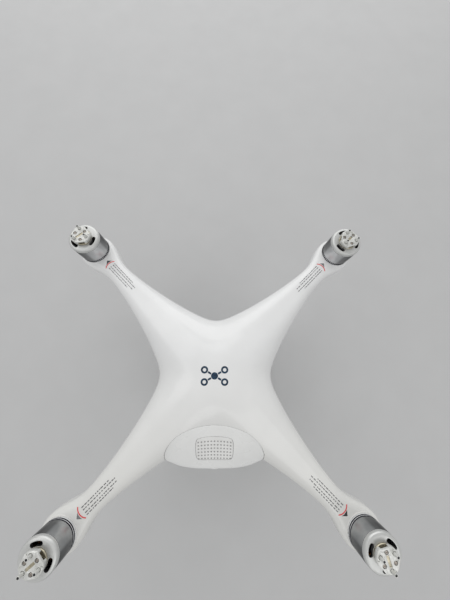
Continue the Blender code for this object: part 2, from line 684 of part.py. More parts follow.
def build_battery():
    """Sliding battery: case, cells, shaped end, two latch pads and the power button."""
    case = add_part("battery_case", box((-BATTERY_HALF, BATTERY_REAR, BATTERY_LOW),
                                        (BATTERY_HALF, BATTERY_FRONT, BATTERY_HIGH)), "battery_grey")
    room = box((-BATTERY_HALF + 1.5, BATTERY_REAR - 20.0, BATTERY_LOW + 1.5),
               (BATTERY_HALF - 1.5, BATTERY_FRONT - 1.5, BATTERY_HIGH - 1.5))
    combine(case, add_cutter("cut_case_room", room))
    cells = add_part("battery_cells", box((-33.8, BATTERY_REAR + 1.0, BATTERY_LOW + 2.0),
                                          (33.8, BATTERY_FRONT - 2.2, BATTERY_HIGH - 2.0)), "cell_wrap")
    round_edges(cells, 2.0, 2)

    xs = [END_HALF * math.sin(math.pi / 2.0 * step / 8.0) for step in range(-8, 9)]
    top = [[end_top(x, share / 5.0) for x in xs] for share in range(6)]
    bottom = [[end_bottom(point.x, point.y) for point in row] for row in top]
    end = add_part("battery_end", slab(top, bottom), "shell_white", (0.0, END_ARC_Y, SEAM_Z), smooth=40)
    plug = box((-BATTERY_HALF + 1.0, -66.0, BATTERY_LOW + 0.4), (BATTERY_HALF - 1.0, BATTERY_REAR - 0.3, 153.0))
    combine(end, add_cutter("cut_end_plug", plug), "UNION")
    pocket = slab(pad_grid(0.24, 0.76, PAD_HALF, 6.0, 0.35), pad_grid(0.24, 0.76, PAD_HALF, -5.0, 0.35))
    combine(end, add_cutter("cut_pad_pocket", pocket))
    pad = slab(pad_grid(0.24, 0.76, PAD_HALF, 0.5), pad_grid(0.24, 0.76, PAD_HALF, -3.0))
    middle = end_top(0.0, 0.5)
    top_pad = add_part("latch_pad_top", pad, "pad_white", middle, smooth=40)

    low_pocket = box((-16.5, -74.3, 110.0), (16.5, -57.7, 127.0))
    combine(end, add_cutter("cut_low_pocket", low_pocket))
    low_pad = add_part("latch_pad_bottom", box((-16.2, -74.0, 119.4), (16.2, -58.0, 124.4)), "pad_white",
                       (0.0, -66.0, 121.0))
    round_edges(low_pad, 0.8, 1)

    button_hole = disc(6.3, -95.0, END_REAR_Y + 4.6, 24, (0.0, 133.0), "Y")
    combine(end, add_cutter("cut_button_hole", button_hole))
    face = turned(((0.0, END_REAR_Y + 2.6), (6.0, END_REAR_Y + 2.6), (6.0, END_REAR_Y - 0.4),
                     (5.4, END_REAR_Y - 0.8), (0.0, END_REAR_Y - 0.8)), 24, (0.0, 133.0), "Y")
    button = add_part("power_button", face, "pad_white", (0.0, END_REAR_Y, 133.0), smooth=30)
    gather("slide_battery", (0.0, END_REAR_Y, 140.0), (case, cells, end, top_pad, low_pad, button))


def main():
    """Build the whole drone."""
    clear_scene()
    build_shells()
    hull = build_lower_hull_cutter()
    build_inside(hull)
    for corner, x, y in motor_places():
        build_motor(corner, x, y)
    build_landing_gear(hull)
    build_gimbal(hull)
    build_battery()


main()
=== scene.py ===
"""Looks of the four-rotor camera drone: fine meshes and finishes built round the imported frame.

The shape functions work in millimetres along the frame's own axes (+Y forward, +Z up), and solid()
turns their meshes into metres. Every piece stands at rest and rides on the body it belongs to.
"""
import random
from math import cos, hypot, pi, radians, sin, sqrt

import bmesh
import bpy
from mathutils import Matrix, Vector
from mathutils.bvhtree import BVHTree


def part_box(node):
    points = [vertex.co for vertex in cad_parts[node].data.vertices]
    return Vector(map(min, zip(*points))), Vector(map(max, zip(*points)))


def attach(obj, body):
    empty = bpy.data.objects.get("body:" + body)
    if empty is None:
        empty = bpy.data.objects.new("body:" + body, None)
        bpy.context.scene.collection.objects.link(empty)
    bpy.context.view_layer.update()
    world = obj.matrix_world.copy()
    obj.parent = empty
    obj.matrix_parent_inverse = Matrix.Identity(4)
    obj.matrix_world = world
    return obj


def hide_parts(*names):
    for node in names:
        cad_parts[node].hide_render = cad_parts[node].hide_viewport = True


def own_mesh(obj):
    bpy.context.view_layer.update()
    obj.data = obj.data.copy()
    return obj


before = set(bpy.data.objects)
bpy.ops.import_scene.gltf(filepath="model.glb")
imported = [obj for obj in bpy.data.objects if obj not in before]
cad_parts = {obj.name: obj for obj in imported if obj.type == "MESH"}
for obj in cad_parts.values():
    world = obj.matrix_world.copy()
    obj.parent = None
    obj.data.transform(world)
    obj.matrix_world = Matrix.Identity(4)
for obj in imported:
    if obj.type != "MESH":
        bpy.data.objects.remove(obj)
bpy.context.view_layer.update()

MM = 0.001
ROOT2 = sqrt(2)
TURN = 2 * pi
UP = Vector((0, 0, 1))
CORNERS = ("fl", "fr", "rl", "rr")
SIDES = (("l", -1), ("r", 1))

# ---- hull cage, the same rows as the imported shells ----
SEAM_Z = 148
SEAM_GAP = 0.3
SHELL_WALL = 2
FIT_GAP = 0.3
SEEN_GAP = 0.13                         # fine joint between the shell and the battery's end
HULL_LEVELS = 3
WAIST = 50
STATIONS = (                            # along the arm at its middle and at its edges, half width
    (27, 52, 28.2),
    (52, 75, 21.2),
    (86, 104, 14.8),
    (122, 130, 10.8),
    (148, 150, 9.4),
    (165, 165, 16),
    (180, 179.5, 18.4),
    (193.9, 190.5, 10.8),
)
TOP_HEIGHTS = (179, 177.5, 173, 166, 160, 156.8, 157.1, 157.1, 156)
TOP_RIM_SHARE = (0.42, 0.42, 0.46, 0.50, 0.55, 0.62, 0.78, 0.80, 0.74)
TOP_MID_SHARE = (0.93, 0.92, 0.93, 0.94, 0.96, 0.98, 1.00, 1.00, 0.98)
BELLY_HEIGHTS = (97.4, 98, 104, 118.5, 127.5, 131.5, 130.5, 130, 132)
BELLY_RIM_SHARE = (0.45, 0.42, 0.42, 0.46, 0.52, 0.60, 0.70, 0.72, 0.66)
BELLY_MID_SHARE = (0.97, 0.97, 0.95, 0.95, 0.96, 0.98, 1.00, 1.00, 0.98)
MID_COLUMN = 0.56
WELLS = (26, 48)                    # screw wells, inward from the motor's axis

# ---- printed marks on the arms, measured inward from the motor's axis ----
ARC_CENTRE = 28.9
ARC_R = 8.3
ARC_HALF_WIDTH = 0.46
WEDGE_R = 9.25
WEDGE_TIP = 16.9
WEDGE_SHIFT = 0.7
DASH_START = 24.6
DASH_ROWS = ((-4.1, 53.5), (-2.1, 60), (0.6, 60), (2.8, 53.5))      # offset across the arm, end
DASH_HALF_WIDTH = 0.36

# ---- motors and propeller mounts ----
SEAT_R = 14.4
SEAT_TOP = 157.4
BELL_R = 14
BELL_LOW = 158
BELL_TOP = 184
BELL_WALL = 1.1
CAP_GROOVE = BELL_TOP - 3.7
SHAFT_R = 1.5
SLOT_MID_R = 9.75
SLOT_HALF = 1.6
SLOT_REACH = 17.5                       # half the arc of a kidney slot's centre line, in degrees
MOUNT_DISC_R = 7.6
MOUNT_DISC_TOP = 185.3
HUB_TOP = 185.9
POST_RING_R = 6.1
POST_R = 1.2
POST_HOLE_R = 1.55
POST_TOP = 194.5
PLATE_R = 8.6
PLATE_LOW = 186.4
PLATE_TOP = 190.2
PLATE_SKIN = 1.5
SCREW_RING_R = 4.9
SPRING_R = 3.1
SPRING_WIRE_R = 0.32
SPRING_LOW = 185.45
SPRING_HIGH = 188.55
SPRING_TURNS = 3
REST_TURNS = {"fl": 220, "fr": 225, "rl": 220, "rr": 283}       # angle of each first post

# ---- battery ----
BATTERY_HALF = 36
BATTERY_LOW = 119.6
BATTERY_HIGH = 158
BATTERY_FRONT = 33.6
BATTERY_REAR = -38
END_HALF = 42.2
END_ARC_Y = -39.6
END_ARC_HALF = 44
END_REAR_Y = -82.3
END_FRONT_Z = 170.3
END_LOW_Z = 124
END_REAR_Z = 141
PAD_HALF = 16.2
PAD_REACH = 0.26                        # half the pad's length as a share of the end's length
POCKET_GROW = 0.24
DIMPLE_R = 0.85
DIMPLE_COLUMNS = 11
DIMPLE_LINES = 6
DIMPLE_PITCH = 2.78
DIMPLE_SHARE = 0.077                    # pitch of the lines as a share of the end's length
BUTTON_Z = 133

# ---- landing gear, eyes, gimbal and camera ----
EYE_X = 20
EYE_Z = 134
EYE_FRONT = 56.2
SKID_X = 76
SKID_Z = 6.4
SKID_HALF = 70
SKID_BEND = 16
LEG_TOP = (61, 48, 127)
PAD_HEIGHT = 3
PAD_HALF_WIDTH = 3.6
YAW_Y = 14
YAW_BACK = YAW_Y - 36
CAMERA_Z = 42
CAMERA_HALF = 15


# ================================================================ finishes
# name, darker and lighter tone, size of a patch in mm, lowest and highest roughness,
# height and size of the surface grain in mm, metallic
FINISHES = {
    "shell": ("shell_white_gloss", (0.775, 0.78, 0.782), (0.83, 0.834, 0.836), 46, 0.2, 0.27, 0.0012, 1.4),
    "end": ("battery_white", (0.83, 0.834, 0.826), (0.875, 0.88, 0.872), 30, 0.24, 0.34, 0.002, 0.9),
    "pad": ("pad_white_soft", (0.8, 0.8, 0.79), (0.86, 0.86, 0.85), 9, 0.36, 0.5, 0.006, 0.4),
    "inner": ("inner_black_plastic", (0.022, 0.023, 0.026), (0.045, 0.046, 0.05), 14, 0.42, 0.6, 0.02, 0.45),
    "board": ("board_green_mask", (0.012, 0.085, 0.035), (0.02, 0.13, 0.055), 8, 0.3, 0.45, 0.01, 0.6),
    "ceramic": ("ceramic_cream", (0.6, 0.56, 0.47), (0.72, 0.68, 0.58), 5, 0.5, 0.65, 0.015, 0.3),
    # bells: brushed metal whose walls also get painted reflection bands
    "bell": ("bell_brushed", (0.62, 0.63, 0.64), (0.69, 0.7, 0.71), 12, 0.34, 0.4, 0.002, 0.2, 0.85),
    # rear bells: a darker copy of the bell finish, painted shade, with the same painted reflection bands
    "rear_bell": ("bell_brushed_dark", (0.4, 0.41, 0.415), (0.47, 0.48, 0.485), 12, 0.32, 0.38, 0.002, 0.2,
                  0.85),
    "cap": ("cap_satin", (0.58, 0.59, 0.58), (0.65, 0.655, 0.645), 9, 0.34, 0.42, 0.003, 0.15, 0.6),
    # bright lands between the rear bells' foot grooves: painted highlight
    "ring": ("ring_bright", (0.78, 0.79, 0.81), (0.86, 0.87, 0.89), 5, 0.2, 0.3, 0.002, 0.2, 0.6),
    # near-black for grooves, rib valleys, slot walls and screw holes: painted shade in recesses
    "groove": ("groove_dark", (0.008, 0.008, 0.016), (0.016, 0.016, 0.026), 3, 0.5, 0.65, 0.004, 0.2),
    "brass": ("adapter_brass", (0.42, 0.38, 0.28), (0.6, 0.55, 0.43), 2.5, 0.26, 0.4, 0.004, 0.2, 0.9),
    "plate": ("plate_cast", (0.64, 0.645, 0.62), (0.76, 0.765, 0.745), 3, 0.34, 0.5, 0.008, 0.3, 0.45),
    "screw": ("screw_steel", (0.3, 0.27, 0.24), (0.46, 0.42, 0.38), 0.8, 0.25, 0.4, 0.004, 0.15, 0.95),
    "steel": ("spring_steel_wire", (0.36, 0.36, 0.37), (0.5, 0.5, 0.51), 1.5, 0.25, 0.4, 0.003, 0.2, 1),
    "core": ("laminated_core", (0.05, 0.05, 0.055), (0.09, 0.09, 0.095), 2, 0.45, 0.6, 0.01, 0.3, 0.6),
    "copper": ("winding_copper", (0.36, 0.13, 0.05), (0.58, 0.26, 0.1), 1.6, 0.3, 0.45, 0.005, 0.2, 0.9),
    "rubber": ("rubber_black_matt", (0.018, 0.018, 0.018), (0.035, 0.034, 0.033), 6, 0.72, 0.9, 0.03, 0.35),
    "red_lens": ("lamp_red_milky", (0.52, 0.05, 0.035), (0.66, 0.09, 0.06), 6, 0.16, 0.28, 0.01, 1.2),
    "green_lens": ("lamp_green_milky", (0.05, 0.4, 0.14), (0.09, 0.52, 0.2), 6, 0.16, 0.28, 0.01, 1.2),
    "gimbal": ("gimbal_satin", (0.42, 0.43, 0.45), (0.52, 0.53, 0.55), 9, 0.3, 0.4, 0.006, 0.3, 0.7),
    "camera": ("camera_satin", (0.56, 0.57, 0.59), (0.66, 0.67, 0.69), 10, 0.28, 0.38, 0.006, 0.25, 0.6),
    "black": ("lens_black_satin", (0.01, 0.01, 0.012), (0.022, 0.022, 0.026), 4, 0.22, 0.36, 0.005, 0.3),
    "glass": ("lens_coated", (0.008, 0.012, 0.03), (0.015, 0.02, 0.045), 3, 0.03, 0.06, 0.0005, 2),
    "case": ("battery_grey_case", (0.24, 0.245, 0.26), (0.31, 0.315, 0.33), 12, 0.42, 0.56, 0.018, 0.5),
    "wrap": ("cell_wrap_blue", (0.05, 0.07, 0.2), (0.1, 0.13, 0.3), 10, 0.35, 0.5, 0.02, 0.8),
    "red_print": ("print_red", (0.66, 0.055, 0.06), (0.78, 0.1, 0.1), 2, 0.3, 0.45, 0.004, 0.4),
    "dark_print": ("print_dark", (0.02, 0.02, 0.023), (0.05, 0.05, 0.055), 2, 0.3, 0.45, 0.004, 0.4),
    "grey_print": ("print_grey", (0.16, 0.165, 0.17), (0.22, 0.225, 0.23), 1.2, 0.35, 0.5, 0.004, 0.4),
    "dash_print": ("print_charcoal", (0.075, 0.075, 0.08), (0.15, 0.15, 0.155), 1.6, 0.35, 0.5, 0.004, 0.4),
    # darker grey in the pad's dimples: painted shade in the hollows
    "dimple": ("pad_dimple_grey", (0.36, 0.356, 0.352), (0.46, 0.456, 0.452), 2, 0.5, 0.65, 0.006, 0.3),
    "navy_foil": ("foil_navy", (0.008, 0.026, 0.055), (0.02, 0.055, 0.1), 4, 0.2, 0.32, 0.003, 0.5, 0.3),
    "gold": ("contact_gold", (0.7, 0.45, 0.14), (0.85, 0.6, 0.25), 1.5, 0.25, 0.35, 0.003, 0.2, 1),
    "floor": ("floor_pale", (0.52, 0.523, 0.526), (0.532, 0.535, 0.538), 60, 0.66, 0.74, 0.01, 2.5),
}
SOCKETS = {
    "shell": {"Coat Weight": 0.35, "Coat Roughness": 0.11, "IOR": 1.5},
    "end": {"Coat Weight": 0.15, "Coat Roughness": 0.15},
    "groove": {"Specular IOR Level": 0.2},
    "red_lens": {"Transmission Weight": 0.15},
    "green_lens": {"Transmission Weight": 0.15},
    "glass": {"Coat Weight": 1, "Coat Roughness": 0.02, "IOR": 1.6},
}


def add_node(tree, kind, inputs=None, **settings):
    """One shader node; inputs are numbers, colours or other nodes' sockets."""
    made = tree.nodes.new("ShaderNode" + kind)
    for key, value in settings.items():
        setattr(made, key, value)
    for key, value in (inputs or {}).items():
        if isinstance(value, bpy.types.NodeSocket):
            tree.links.new(value, made.inputs[key])
        else:
            made.inputs[key].default_value = value
    return made


def tone(colour):
    """Colour with full alpha; a socket stays as it is."""
    return colour if isinstance(colour, bpy.types.NodeSocket) else (*colour, 1)


def blend_tones(tree, share, first, second):
    """Mix two colours (or colour sockets) by a share socket."""
    return add_node(tree, "Mix", {0: share, 6: tone(first), 7: tone(second)}, data_type="RGBA").outputs[2]


def spread(tree, value, low, high, from_low=0.35, from_high=0.65):
    """Stretch a noise value to a range."""
    ends = {"Value": value, "From Min": from_low, "From Max": from_high, "To Min": low, "To Max": high}
    return add_node(tree, "MapRange", ends).outputs[0]


def noise(tree, place, size, detail=3):
    """Noise whose patches are about size millimetres wide."""
    return add_node(tree, "TexNoise", {"Vector": place, "Scale": 1000 / size, "Detail": detail}).outputs[0]


def vectors(tree, operation, *inputs):
    """Output of one step of vector maths; a length or a dot product is a number."""
    made = add_node(tree, "VectorMath", dict(enumerate(inputs)), operation=operation)
    return made.outputs["Value" if operation in ("LENGTH", "DOT_PRODUCT") else "Vector"]


def bump_node(tree, height, depth):
    """Surface relief from a height socket, its depth in mm."""
    return add_node(tree, "Bump", {"Height": height, "Distance": depth * MM, "Strength": 1})


def from_axis(tree, place):
    """Flat vector from the nearest motor's axis, folded into the front right corner."""
    low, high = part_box("bell_fr")
    axis = (low + high) / 2
    folded = vectors(tree, "ABSOLUTE", place)
    centred = vectors(tree, "SUBTRACT", folded, (axis.x, axis.y, 0))
    return vectors(tree, "MULTIPLY", centred, (1, 1, 0))


def rear_shade_and_warm_reflection(tree, place, colour):
    """Painted shade and warm reflection: the shell's colour turns darker and yellower towards its rear."""
    split = add_node(tree, "SeparateXYZ", {0: place})
    share = spread(tree, split.outputs[1], 0.55, 0, -0.09, 0.02)
    # darker, yellower tone of the painted rear shade and warm reflection
    return blend_tones(tree, share, colour, (0.70, 0.695, 0.655))


def board_tracks(tree, place, colour):
    """Copper tracks under the board's mask."""
    cells = add_node(tree, "TexVoronoi", {"Vector": place, "Scale": 420}, feature="DISTANCE_TO_EDGE")
    share = spread(tree, cells.outputs[0], 0.8, 0, 0.02, 0.06)
    return blend_tones(tree, share, colour, (0.08, 0.30, 0.14))


def coated_glass(tree, place, colour):
    """Violet bloom of a lens coating, stronger towards its edge."""
    edge = add_node(tree, "LayerWeight", {"Blend": 0.35})
    return blend_tones(tree, edge.outputs[1], colour, (0.10, 0.05, 0.22))


def painted_reflection_bands(tree, place, colour):
    """Painted reflection: soft light and dark bands down a turned wall, light towards the hull, dark to each
    side.
    """
    heading = vectors(tree, "NORMALIZE", from_axis(tree, place))
    facing = vectors(tree, "DOT_PRODUCT", heading, (-1 / ROOT2, -1 / ROOT2, 0))
    ramp = add_node(tree, "ValToRGB", {0: spread(tree, facing, 0, 1, -1, 1)})
    stops = ((0, 0.6), (0.5, 0.42), (0.73, 0.12), (0.87, 0.34), (0.95, 0.85), (1, 1))
    ramp.color_ramp.interpolation = "EASE"
    for index, (position, value) in enumerate(stops):
        stop = ramp.color_ramp.elements[index] if index < 2 else ramp.color_ramp.elements.new(position)
        stop.position = position
        stop.color = (value, value, value, 1)
    return vectors(tree, "MULTIPLY", colour, ramp.outputs[0])


def wall_marks(tree, place):
    """Fine lines round a turned wall."""
    lines = add_node(tree, "Mapping", {"Vector": place, "Scale": (0.02, 0.02, 1)})
    return noise(tree, lines.outputs[0], 0.45, 2), 0.006


def turning_marks(tree, place):
    """Fine lines round a turned cap."""
    joined = add_node(tree, "CombineXYZ", {0: vectors(tree, "LENGTH", from_axis(tree, place))})
    return noise(tree, joined.outputs[0], 0.35, 1), 0.006


def winding_marks(tree, place):
    """Wire laid side by side."""
    bands = add_node(tree, "TexWave", {"Vector": place, "Scale": 320, "Distortion": 1.5}, bands_direction="Z")
    return bands.outputs[1], 0.12


def cloth_wrap(tree, place):
    """Crossed threads of a woven tape."""
    threads = {}
    for index, way in enumerate("XZ"):
        made = add_node(tree, "TexWave", {"Vector": place, "Scale": 260}, bands_direction=way)
        threads[index] = made.outputs[1]
    return add_node(tree, "Math", threads, operation="MULTIPLY").outputs[0], 0.08


# colour changes by finish: the board's copper tracks and the lens coating are their own colour; the shell's
# rear shade and warm reflection and the bells' light and dark bands are painted shade and painted reflection
REPAINTS = {"shell": rear_shade_and_warm_reflection, "board": board_tracks, "bell": painted_reflection_bands, "rear_bell": painted_reflection_bands,
            "glass": coated_glass}
MARKS = {"bell": wall_marks, "rear_bell": wall_marks, "cap": turning_marks, "core": wall_marks,
         "copper": winding_marks, "wrap": cloth_wrap}


def finish(key, name, dark, light, patch, rough_low, rough_high, grain_height, grain_size, metallic=0):
    """A Principled finish whose colour, gloss and surface vary with noise in the piece's own space."""
    made = bpy.data.materials.new(name)
    made.use_nodes = True
    tree = made.node_tree
    shader = tree.nodes["Principled BSDF"]
    place = add_node(tree, "TexCoord").outputs["Object"]
    colour = blend_tones(tree, spread(tree, noise(tree, place, patch), 0, 1), dark, light)
    if key in REPAINTS:
        colour = REPAINTS[key](tree, place, colour)
    tree.links.new(colour, shader.inputs["Base Color"])
    gloss = spread(tree, noise(tree, place, patch * 0.45, 4), rough_low, rough_high)
    tree.links.new(gloss, shader.inputs["Roughness"])
    grain = bump_node(tree, noise(tree, place, grain_size, 2), grain_height)
    if key in MARKS:
        ridges = bump_node(tree, *MARKS[key](tree, place))
        tree.links.new(ridges.outputs[0], grain.inputs["Normal"])
    tree.links.new(grain.outputs[0], shader.inputs["Normal"])
    shader.inputs["Metallic"].default_value = metallic
    for socket, value in SOCKETS.get(key, {}).items():
        shader.inputs[socket].default_value = value
    made.diffuse_color = tone(light)
    return made


# ================================================================ mesh helpers
def merge(*meshes):
    """Put several separate bmeshes into the first one."""
    first = meshes[0]
    for other in meshes[1:]:
        spare = bpy.data.meshes.new("spare")
        other.to_mesh(spare)
        other.free()
        first.from_mesh(spare)
        bpy.data.meshes.remove(spare)
    return first


def moved(mesh, place):
    """The same bmesh after a matrix."""
    bmesh.ops.transform(mesh, matrix=place, verts=mesh.verts)
    return mesh


def add_object(name, data):
    """A new object in the scene."""
    made = bpy.data.objects.new(name, data)
    bpy.context.scene.collection.objects.link(made)
    return made


def shade(data, angle):
    """Smooth shading, with sharp edges above an angle in degrees."""
    if angle:
        data.shade_smooth()
        data.set_sharp_from_angle(angle=radians(angle))


def solid(name, mesh, paint, smooth=35):
    """An object from a bmesh in millimetres."""
    bmesh.ops.scale(mesh, verts=mesh.verts, vec=(MM, MM, MM))
    data = bpy.data.meshes.new(name)
    mesh.to_mesh(data)
    mesh.free()
    made = add_object(name, data)
    if paint:
        data.materials.append(FINISH[paint])
    shade(data, smooth)
    return made


def combine(piece, tool, operation="DIFFERENCE"):
    """Cut a bmesh in millimetres away from a piece, or join it on."""
    cutter = solid("tool_" + piece.name + str(len(piece.modifiers)), tool, None, None)
    cutter.hide_render = True
    cutter.display_type = "WIRE"
    step = piece.modifiers.new("cut", "BOOLEAN")
    step.operation = operation
    step.solver = "EXACT"
    step.object = cutter


def round_edges(piece, width, segments=3, angle=32):
    """Round a piece's sharp edges."""
    step = piece.modifiers.new("round", "BEVEL")
    step.width = width * MM
    step.segments = segments
    step.limit_method = "ANGLE"
    step.angle_limit = radians(angle)


def settle(piece, smooth=35):
    """Apply a piece's modifiers and drop the shapes that cut it."""
    graph = bpy.context.evaluated_depsgraph_get()
    fixed = bpy.data.meshes.new_from_object(piece.evaluated_get(graph))
    tools = [step.object for step in piece.modifiers if step.type == "BOOLEAN"]
    piece.modifiers.clear()
    old = piece.data
    piece.data = fixed
    bpy.data.meshes.remove(old)
    for tool in tools:
        bpy.data.objects.remove(tool)
    shade(piece.data, smooth)
    return piece


def fit(piece, body, slot, *nodes):
    """Let a piece ride on its body and stand for its CAD nodes; slot, the name of its finish, is not used."""
    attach(piece, body)
    if nodes:
        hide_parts(*nodes)
    return piece


def paint_where(piece, paint, test):
    """Give another finish to the faces whose centre (in mm) and normal pass a test."""
    piece.data.materials.append(FINISH[paint])
    index = len(piece.data.materials) - 1
    for face in piece.data.polygons:
        if test(face.center / MM, face.normal):
            face.material_index = index


def copy_at(piece, name, x, y, turn=0):
    """A second piece with the same shape, turned (in degrees) and moved by x and y millimetres."""
    data = piece.data.copy()
    data.transform(Matrix.Translation((x * MM, y * MM, 0)) @ Matrix.Rotation(radians(turn), 4, "Z"))
    return add_object(name, data)


def box(low, high):
    """A box between two corners."""
    mesh = bmesh.new()
    middle = [(a + b) / 2 for a, b in zip(low, high)]
    size = [b - a for a, b in zip(low, high)]
    bmesh.ops.create_cube(mesh, size=1, matrix=Matrix.Translation(middle) @ Matrix.Diagonal((*size, 1)))
    return mesh


def block(x, y, half_x, half_y, low, high):
    """A box round a place in plan, between two heights."""
    return box((x - half_x, y - half_y, low), (x + half_x, y + half_y, high))


def on_circle(radius, angle, x=0, y=0):
    """Plan point on a circle."""
    return x + radius * cos(angle), y + radius * sin(angle)


def three_spots(radius, first):
    """Three plan points evenly round the origin."""
    return [on_circle(radius, first + TURN * step / 3) for step in range(3)]


def away(point, x=0, y=0):
    """Distance of a point from an upright axis."""
    return hypot(point.x - x, point.y - y)


def softened(profile, radius, steps=3):
    """Round the corners of an open (radius, height) profile."""
    points = [Vector(point) for point in profile]
    made = [points[0]]
    for before, corner, after in zip(points, points[1:], points[2:]):
        back = before - corner
        on = after - corner
        reach = min(radius, back.length * 0.45, on.length * 0.45)
        start = corner + back.normalized() * reach
        end = corner + on.normalized() * reach
        for step in range(steps + 1):
            share = step / steps
            made.append(start.lerp(corner, share).lerp(corner.lerp(end, share), share))
    made.append(points[-1])
    return [(point.x, point.y) for point in made]


def turned(profile, edge, segments, centre=(0, 0), axis="Z", steps=3, shape=None):
    """Turn a (radius, height) profile round an axis; the profile runs down its outer side.

    Its corners are rounded by edge. shape(radius, height, angle) may change the radius round the turn.
    """
    mesh = bmesh.new()
    rings = []
    for radius, height in softened(profile, edge, steps) if edge else profile:
        if radius < 1e-6:
            rings.append([mesh.verts.new((0, 0, height))])
            continue
        ring = []
        for step in range(segments):
            angle = TURN * step / segments
            reach = shape(radius, height, angle) if shape else radius
            ring.append(mesh.verts.new((*on_circle(reach, angle), height)))
        rings.append(ring)
    pairs = list(zip(rings, rings[1:]))
    if len(rings[0]) > 1:
        pairs.append((rings[-1], rings[0]))
    for upper, lower in pairs:
        for step in range(segments):
            after = (step + 1) % segments
            if len(upper) == 1:
                mesh.faces.new((upper[0], lower[step], lower[after]))
            elif len(lower) == 1:
                mesh.faces.new((upper[step], lower[0], upper[after]))
            else:
                mesh.faces.new((upper[step], lower[step], lower[after], upper[after]))
    if axis == "Z":
        return moved(mesh, Matrix.Translation((*centre, 0)))
    if axis == "Y":
        lift = Matrix.Translation((centre[0], 0, centre[1]))
        return moved(mesh, lift @ Matrix.Rotation(-pi / 2, 4, "X"))
    return moved(mesh, Matrix.Translation((0, *centre)) @ Matrix.Rotation(pi / 2, 4, "Y"))


def raised(height, *profile):
    """A (radius, height) profile given from a reference height."""
    return [(radius, height + z) for radius, z in profile]


def disc(radius, low, high, segments=48, centre=(0, 0), axis="Z", edge=0):
    """A round bar along an axis, its rims rounded by edge."""
    return turned(((0, high), (radius, high), (radius, low), (0, low)), edge, segments, centre, axis)


def extruded(outline, low, high):
    """A flat outline, counter-clockwise seen from above, stretched between two heights."""
    mesh = bmesh.new()
    top = [mesh.verts.new((x, y, high)) for x, y in outline]
    bottom = [mesh.verts.new((x, y, low)) for x, y in outline]
    mesh.faces.new(top)
    mesh.faces.new(list(reversed(bottom)))
    for index in range(len(top)):
        after = (index + 1) % len(top)
        mesh.faces.new((top[index], bottom[index], bottom[after], top[after]))
    return mesh


def swept(path, across, half_wide, half_high, sides):
    """Sweep an oval along a path; its width points along across."""
    mesh = bmesh.new()
    across = Vector(across).normalized()
    points = [Vector(point) for point in path]
    rings = []
    for index, point in enumerate(points):
        along = (points[min(index + 1, len(points) - 1)] - points[max(index - 1, 0)]).normalized()
        up = across.cross(along).normalized()
        ring = []
        for step in range(sides):
            angle = TURN * (step + 0.5) / sides
            ring.append(mesh.verts.new(point + across * half_wide * cos(angle) + up * half_high * sin(angle)))
        rings.append(ring)
    for first, second in zip(rings, rings[1:]):
        for step in range(sides):
            after = (step + 1) % sides
            mesh.faces.new((first[step], first[after], second[after], second[step]))
    mesh.faces.new(list(reversed(rings[0])))
    mesh.faces.new(rings[-1])
    bmesh.ops.recalc_face_normals(mesh, faces=mesh.faces)
    return mesh


def slab(top, bottom):
    """A solid between two grids of points that stand one above the other."""
    mesh = bmesh.new()
    rows = len(top)
    columns = len(top[0])
    high = [[mesh.verts.new(point) for point in row] for row in top]
    low = [[mesh.verts.new(point) for point in row] for row in bottom]
    for i in range(rows - 1):
        for j in range(columns - 1):
            mesh.faces.new((high[i][j], high[i][j + 1], high[i + 1][j + 1], high[i + 1][j]))
            mesh.faces.new((low[i][j], low[i + 1][j], low[i + 1][j + 1], low[i][j + 1]))
    rim = [(i, 0) for i in range(rows)]
    rim += [(rows - 1, j) for j in range(1, columns)]
    rim += [(i, columns - 1) for i in range(rows - 2, -1, -1)]
    rim += [(0, j) for j in range(columns - 2, 0, -1)]
    for (i, j), (k, m) in zip(rim, rim[1:] + rim[:1]):
        mesh.faces.new((high[i][j], high[k][m], low[k][m], low[i][j]))
    bmesh.ops.recalc_face_normals(mesh, faces=mesh.faces)
    return mesh


def motor_places():
    """The four motor axes in millimetres, read from the bells' boxes."""
    places = []
    for corner in CORNERS:
        low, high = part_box("bell_" + corner)
        places.append((corner, (low.x + high.x) / 2 / MM, (low.y + high.y) / 2 / MM))
    return places


# ================================================================ hull shells
def arm_point(along, across, height):
    """A point of the front right arm from its distances along and across the arm."""
    return Vector(((along - across) / ROOT2, (along + across) / ROOT2, height))


def hull_rows(heights, rim_shares, mid_shares, seam):
    """Five columns of cage points from the side edge to the front edge, row by row."""
    rows = []
    for index, height in enumerate(heights):
        rim = seam + (height - seam) * rim_shares[index]
        if index == 0:
            side = Vector((WAIST, 0, rim))
            front = Vector((0, WAIST, rim))
            centre = Vector((0, 0, height))
        else:
            centre_s, edge_s, half = STATIONS[index - 1]
            side = arm_point(edge_s, -half, rim)
            front = arm_point(edge_s, half, rim)
            centre = arm_point(centre_s, 0, height)
        between = [centre.lerp(edge, MID_COLUMN) for edge in (side, front)]
        for point in between:
            point.z = seam + (height - seam) * mid_shares[index]
        rows.append([side, between[0], centre, between[1], front])
    return rows


def hull_cage(rows, seam, up):
    """Quarter cage with a skirt down (or up) to the seam."""
    mesh = bmesh.new()
    grid = [[mesh.verts.new(point) for point in row] for row in rows]
    last = len(rows) - 1

    def quad(corners):
        mesh.faces.new(corners if up else tuple(reversed(corners)))

    for i in range(last):
        for j in range(4):
            quad((grid[i][j], grid[i + 1][j], grid[i + 1][j + 1], grid[i][j + 1]))
    rim = [row[0] for row in grid] + grid[last][1:] + [grid[i][4] for i in range(last - 1, -1, -1)]
    skirt = [mesh.verts.new((vert.co.x, vert.co.y, seam)) for vert in rim]
    for index in range(len(rim) - 1):
        quad((rim[index], skirt[index], skirt[index + 1], rim[index + 1]))
    return mesh


